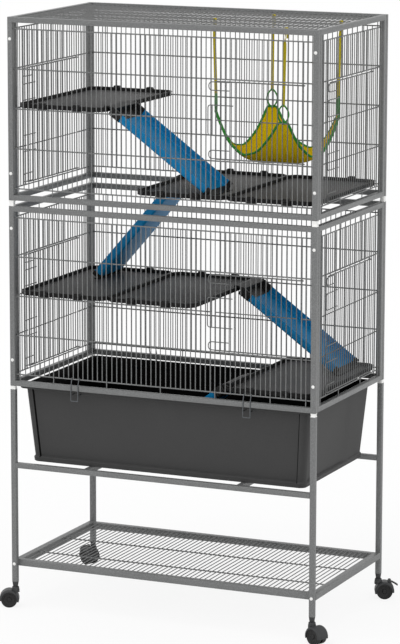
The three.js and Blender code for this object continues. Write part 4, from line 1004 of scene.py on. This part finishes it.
def caster_shape(braked):
    """Hood, middle web, boss and lugs. The hood is a U section carried round the wheel's middle."""
    side, far, near = HOOD_SIDE, HOOD_RADIUS, HOOD_RADIUS - 2
    inner_side = side - HOOD_WALL
    corners = [[HOOD_LIP, -side], [far, -side], [far, side], [HOOD_LIP, side]]
    corners += [[HOOD_LIP, inner_side], [near, inner_side], [near, -inner_side], [HOOD_LIP, -inner_side]]
    section = rounded_outline(corners, [0.4, 4.5, 4.5, 0.4, 0.4, 3, 3, 0.4], 5)
    hood = capped(arc_points(section[:, 0], section[:, 1], np.linspace(-8, 196, 37)))
    outline = arc_points(WEB_RADIUS, 0, np.linspace(0, 180, 19))[:, 0, [0, 2]]
    foot = [[TRAIL - 7, WHEEL_RADIUS - 6], [TRAIL + 7, WHEEL_RADIUS - 6]]
    web = extruded(np.concatenate([outline, foot]), -WEB_HALF, WEB_HALF)
    boss = revolved([(9.5, 36), (9.3, 42), (8.6, 46), (8.2, 48.6), (7.2, 49.6)], (0, 0, 0), (0, 0, 1), 28)
    shapes = [hood, web, boss]
    if braked:
        lug_corners = np.array([[-5, -7], [5, -9], [3.5, 3.5], [-3.5, 3.5]])
        lug = rounded_outline(lug_corners + [BRAKE_X, BRAKE_Z], [0.5, 0.5, 3, 3])
        shapes += [extruded(lug, -8.8, -6.3), extruded(lug, 6.3, 8.8)]
    return merged(shapes)


def stem_shape():
    """The steel stem, turned: a collar on the boss and the plain pin up in the leg."""
    profile = [(5.6, 47.5), (5.6, 49.4), (4, 49.7), (4, LEG_END + 21)]
    return revolved(profile, (0, 0, 0), (0, 0, 1), 20)


def wheels_shape():
    """Two wheels on an axle: a tread, a rounded shoulder and a dished face with a hub, turned about Y."""
    near, far = WHEEL_NEAR, WHEEL_FAR
    side = [(0.5, far), (4.5, far), (5.2, far - 0.6), (6, far - 2.2), (13, far - 1.6), (14.2, far - 0.3)]
    side += [(18, far), (19.1, far - 0.5), (WHEEL_RADIUS, far - 1.6), (WHEEL_RADIUS, near + 0.8)]
    side += [(18.7, near), (0.5, near)]
    shapes = [revolved(side, (TRAIL, 0, WHEEL_RADIUS), (0, sign, 0), 40) for sign in (-1, 1)]
    shapes.append(rods(at(TRAIL, -near - 1, WHEEL_RADIUS), at(TRAIL, near + 1, WHEEL_RADIUS), 6, 16))
    return merged(shapes)


def brake_shape():
    """The foot lever: a plate swept along a bent line down from its pin, with ribs across its end."""
    c, s = math.cos(math.radians(BRAKE_TILT)), math.sin(math.radians(BRAKE_TILT))

    def down(along, above):
        """A point so far down the lever and above it, in its middle plane."""
        return np.array([BRAKE_X + along * c + above * s, 0, BRAKE_Z - along * s + above * c])

    path = bent([down(-3, 0.4), down(10, 0.6), down(22, -1.4)], 6)
    shapes = [swept(path, eased_rectangle(2.4, 12, 0.8), (0, 1, 0))]
    # its hub, and the pin through both lugs
    for width, diameter, sides in ((6, 5.4, 20), (8.6, 3, 12)):
        shapes.append(rods(at(BRAKE_X, -width, BRAKE_Z), at(BRAKE_X, width, BRAKE_Z), diameter, sides))
    for across in (4.6, -4.6):
        for along in (9, 12, 15, 18):
            middle = down(along, 1.4 - 0.1 * (along - 9))
            shapes.append(rods(middle, middle + [0, across, 0], 1.6))
    return merged(shapes)


# each caster's leg, and the way it trails in degrees
CASTERS = {
    "front_left": (-POST_X, FRONT_PLANE, 204),
    "front_right": (POST_X, FRONT_PLANE, -24),
    "rear_left": (-POST_X, -FRONT_PLANE, 156),
    "rear_right": (POST_X, -FRONT_PLANE, 24),
}
for corner, (x, y, turn) in CASTERS.items():
    braked = corner.startswith("rear")
    to = (x, y, 0)
    housing, wheels = f"{corner}_caster", f"{corner}_wheels"
    hood = placed(caster_shape(braked), turn, to)
    add_piece(f"{housing}_hood", hood, HOOD_NYLON, housing, [housing])
    stem = placed(stem_shape(), turn, to)
    add_piece(f"{housing}_stem", stem, ZINC, housing)
    pair = placed(wheels_shape(), turn, to)
    add_piece(f"{wheels}_pair", pair, WHEEL_NYLON, wheels, [wheels])
    if braked:
        brake = f"{corner}_brake"
        lever = placed(brake_shape(), turn, to)
        add_piece(f"{brake}_lever", lever, RIM_PLASTIC, brake, [brake])

# ---------------------------------------------------------------- hammock

CLOTH_CORNERS = np.array([[53, -20], [281, -163], [332, 46], [134, 124]], float)
CLOTH_TOP = TOP - 218
CLOTH_SAG = 112
CLOTH_RISE = (3.65, 2.7)
CLOTH_CROSS = 0.4
CLOTH_FOLD = 1.2
CLOTH_CUT = 0.14  # what each corner loses, as a share of half a side
CLOTH_SIZE = 270
CLOTH_CELLS = 56
CLOTH_THICKNESS = 2.4
LOOP_WIDTH = 28
LOOP_HEIGHT = 44
LOOP_BAND = 6
LOOP_THICKNESS = 3.2
BINDING_WIDTH = 6.5
BINDING_THICKNESS = 4.6
STRAP_WIDTH = 8.5
STRAP_THICKNESS = 1.4


def cloth_points(a, b):
    """The hanging cloth over a square a, b from -1 to 1 whose corners are cut off.

    u, v = s * (a, b), with s = (2 - cut) / (|a| + |b|) where that is under one. In plan, corners are
    weighted by (1 +- u)(1 +- v) / 4, spread so that a cut corner lies under its loop. The height is
    top - sag * (1 - h), where h = p^3.65 + q^2.7 - 0.4 * (p q)^1.5, and p and q are |u + v| / 2 and
    |v - u| / 2 scaled to reach one at a cut corner.
    """
    s = np.minimum(1, (2 - CLOTH_CUT) / np.maximum(np.abs(a) + np.abs(b), 1e-6))
    u, v = a * s, b * s
    reach = 1 - CLOTH_CUT / 2
    weights = np.stack([(1 - u) * (1 - v), (1 + u) * (1 - v), (1 + u) * (1 + v), (1 - u) * (1 + v)], -1) / 4
    middle = CLOTH_CORNERS.mean(axis=0)
    plan = middle + weights @ (CLOTH_CORNERS - middle) / reach
    p, q = np.abs(u + v) / 2 / reach, np.abs(v - u) / 2 / reach
    rise = p ** CLOTH_RISE[0] + q ** CLOTH_RISE[1] - CLOTH_CROSS * (p * q) ** 1.5
    high = np.minimum(rise, 1)
    # shallow folds run in from the corners
    fold = CLOTH_FOLD * np.sin(16 * np.arctan2(v, u)) * (u**2 + v**2) * (1 - high)
    z = CLOTH_TOP - CLOTH_SAG * (1 - high) + fold
    return at(plan[..., 0], plan[..., 1], z), np.stack([u, v], axis=-1)


def cloth_border():
    """The cloth's edge as one closed path, side by side round the square."""
    t = np.linspace(-1, 1, CLOTH_CELLS + 1)[:-1]
    a = np.concatenate([t, np.ones_like(t), -t, -np.ones_like(t)])
    b = np.concatenate([-np.ones_like(t), t, np.ones_like(t), -t])
    return cloth_points(a, b)[0]


steps = np.linspace(-1, 1, CLOTH_CELLS + 1)
b, a = np.meshgrid(steps, steps)
cloth_grid, cloth_share = cloth_points(a, b)
cloth_map = cloth_share.reshape(-1, 2) * CLOTH_SIZE / 2
bed = grid(cloth_grid)
cloth = add_piece("hammock_bed", bed, CLOTH, "cage", ["hammock_cloth"], 60, cloth_map)
thickness = cloth.modifiers.new("thickness", "SOLIDIFY")
thickness.thickness = CLOTH_THICKNESS * MM
thickness.offset = 0
hem = eased_rectangle(BINDING_WIDTH, BINDING_THICKNESS, 2)
binding = swept(cloth_border(), hem, (0, 0, 1), closed=True)
edge = add_piece("hammock_binding", binding, BINDING, "cage", crease=60)


def loop_shape(x, y, along):
    """A pointed oval band over a cut corner, in the upright plane that holds the corner's edge.

    Its half width at height t is that of the loop times sin(pi t)^0.8, up one side and down the other.
    """
    t = np.linspace(0.02, 0.98, 16)
    half = (LOOP_WIDTH / 2 - 1.5) * np.sin(np.pi * t) ** 0.8
    across, rise = np.concatenate([-half, half[::-1]]), np.concatenate([t, t[::-1]]) * LOOP_HEIGHT
    path = at(x + along[0] * across, y + along[1] * across, CLOTH_TOP - 3 + rise)
    section = eased_rectangle(LOOP_THICKNESS, LOOP_BAND, 1.2)
    return swept(path, section, (-along[1], along[0], 0), closed=True)


def strap_shape(x, y, along):
    """Webbing from the loop up and over the nearest wire of the top.

    It lies as its loop does up to four fifths of the way. Over the last fifth, t from 0 to 1, it turns
    to lie along the wire above: its angle is the lower one times (1 + cos(pi t)) / 2.
    """
    low = CLOTH_TOP + LOOP_HEIGHT - 8
    gap = np.round((x + WIDTH / 2 - TUBE) / PITCH)
    wire = -WIDTH / 2 + TUBE + gap * PITCH
    over = GRILLE_Z + WIRE / 2 + 0.9
    side = WIRE / 2 + 1.2
    rise = np.linspace(0, 1, 14)
    up = at(x + (wire - side - x) * rise, y, low + (GRILLE_Z - 8 - low) * rise)
    hook_x = wire + side * np.array([-1, -1, 1, 1])
    top = bent(at(hook_x, y, [GRILLE_Z - 7, over, over, GRILLE_Z - 22]), 1.6, 4)
    path = np.concatenate([up, top])
    below = np.degrees(np.arctan2(-along[0] * np.sign(along[1]), abs(along[1])))
    eased = 0.5 + 0.5 * np.cos(np.pi * np.clip((rise - 0.8) / 0.2, 0, 1))
    turn = np.concatenate([below * eased, np.zeros(len(top))])
    return swept(path, eased_rectangle(STRAP_THICKNESS, STRAP_WIDTH, 0.5), (0, 1, 0), twist=turn)


loops, straps = [], []
for place, corner in enumerate(("left", "front", "right", "rear")):
    x, y = CLOTH_CORNERS[place]
    along = unit(CLOTH_CORNERS[(place + 1) % 4] - CLOTH_CORNERS[place - 1])
    band, strap = loop_shape(x, y, along), strap_shape(x, y, along)
    loops.append(add_piece(f"hammock_loop_{corner}", band, BINDING, "cage", crease=60))
    node = f"hammock_strap_{corner}"
    straps.append(add_piece(f"{node}_webbing", strap, WEBBING, "cage", [node], 50))

# ---------------------------------------------------------------- floor, light and camera


FLOOR_REACH = 40.0  # metres
FLOOR_GLOW = 0.86  # how much of its own white the camera sees
SKY_LIGHT = 0.72  # how much of its white the sky sheds on the object


def plain_material(name, colour, roughness):
    """A matt material of one colour."""
    material = bpy.data.materials.new(name)
    material.use_nodes = True
    shader = material.node_tree.nodes["Principled BSDF"]
    shader.inputs["Base Color"].default_value = linear(colour)
    shader.inputs["Roughness"].default_value = roughness
    shader.inputs["Specular IOR Level"].default_value = 0.1
    return material


floor_mesh = bpy.data.meshes.new("studio_floor")
floor_corners = FLOOR_REACH * np.array([[-1, -1, 0], [1, -1, 0], [1, 1, 0], [-1, 1, 0]])
floor_mesh.from_pydata(floor_corners.tolist(), [], [(0, 1, 2, 3)])
floor_coat = plain_material("pale_floor", "#fbfbfb", 0.8)
# the camera sees it nearly white whatever falls on it, and still sees the shadow faintly
coat_tree = floor_coat.node_tree
plain_shader = coat_tree.nodes["Principled BSDF"]
glow = add_node(coat_tree, "ShaderNodeEmission", {"Color": (1, 1, 1, 1), "Strength": 1.0})
floor_rays = add_node(coat_tree, "ShaderNodeLightPath")
glow_share = {0: floor_rays.outputs["Is Camera Ray"], 1: FLOOR_GLOW}
share = add_node(coat_tree, "ShaderNodeMath", glow_share, operation="MULTIPLY")
coat_and_glow = {0: share.outputs[0], 1: plain_shader.outputs[0], 2: glow.outputs[0]}
both = add_node(coat_tree, "ShaderNodeMixShader", coat_and_glow)
coat_tree.links.new(both.outputs[0], coat_tree.nodes["Material Output"].inputs["Surface"])
floor_mesh.materials.append(floor_coat)
floor = bpy.data.objects.new("studio_floor", floor_mesh)
bpy.context.scene.collection.objects.link(floor)

world = bpy.data.worlds.new("studio_sky")
bpy.context.scene.world = world
world.use_nodes = True
sky = world.node_tree
background = sky.nodes["Background"]
# white to the camera and in reflections, softer as light on the object
rays = add_node(sky, "ShaderNodeLightPath")
seen = rays.outputs["Is Camera Ray"]
for kind in ("Is Glossy Ray", "Is Transmission Ray"):
    either = {0: seen, 1: rays.outputs[kind]}
    seen = add_node(sky, "ShaderNodeMath", either, operation="MAXIMUM").outputs[0]
sky_range = {"Value": seen, "To Min": SKY_LIGHT, "To Max": 1.0}
sky_level = add_node(sky, "ShaderNodeMapRange", sky_range)
sky.links.new(sky_level.outputs["Result"], background.inputs["Strength"])
background.inputs["Color"].default_value = (1, 1, 1, 1)


def soft_lamp(name, direction, strength, spread):
    """A broad, even lamp: a sun as wide as the spread in degrees, shining along the direction."""
    lamp = bpy.data.lights.new(name, "SUN")
    lamp.energy = strength
    lamp.angle = math.radians(spread)
    holder = bpy.data.objects.new(name, lamp)
    aim = np.asarray(direction, float)
    holder.rotation_euler = (
        math.atan2(math.hypot(aim[0], aim[1]), -aim[2]),
        0,
        math.atan2(aim[1], aim[0]) - math.pi / 2,
    )
    bpy.context.scene.collection.objects.link(holder)


soft_lamp("key_lamp", (0.35, 0.75, -1.0), 0.9, 60)
soft_lamp("side_lamp", (-1.0, 0.5, -0.6), 0.55, 60)

# the camera: its place in metres, the way it looks, its right hand and how far it rolls
CAMERA_PLACE = np.array([3.0875, -6.9506, 2.0975])
FORWARD = unit(np.array([-0.3986, 0.8987, -0.1828]))
RIGHT = unit(np.array([0.9141, 0.4055, 0.0]))
ROLL = math.radians(0.10)
FOCAL_PIXELS = 3276.1
IMAGE_HEIGHT = 644
SENSOR_WIDTH = 36
up = np.cross(RIGHT, FORWARD)
right_rolled = RIGHT * math.cos(ROLL) + up * math.sin(ROLL)
up_rolled = np.cross(right_rolled, FORWARD)
lens = bpy.data.cameras.new("camera")
lens.sensor_width = SENSOR_WIDTH
lens.lens = SENSOR_WIDTH * FOCAL_PIXELS / IMAGE_HEIGHT
lens.clip_end = 200
camera = bpy.data.objects.new("camera", lens)
pose = np.eye(4)
pose[:3, 0], pose[:3, 1], pose[:3, 2], pose[:3, 3] = right_rolled, up_rolled, -FORWARD, CAMERA_PLACE
camera.matrix_world = Matrix(pose.tolist())
bpy.context.scene.collection.objects.link(camera)
bpy.context.scene.camera = camera
bpy.context.scene.view_settings.view_transform = "Standard"
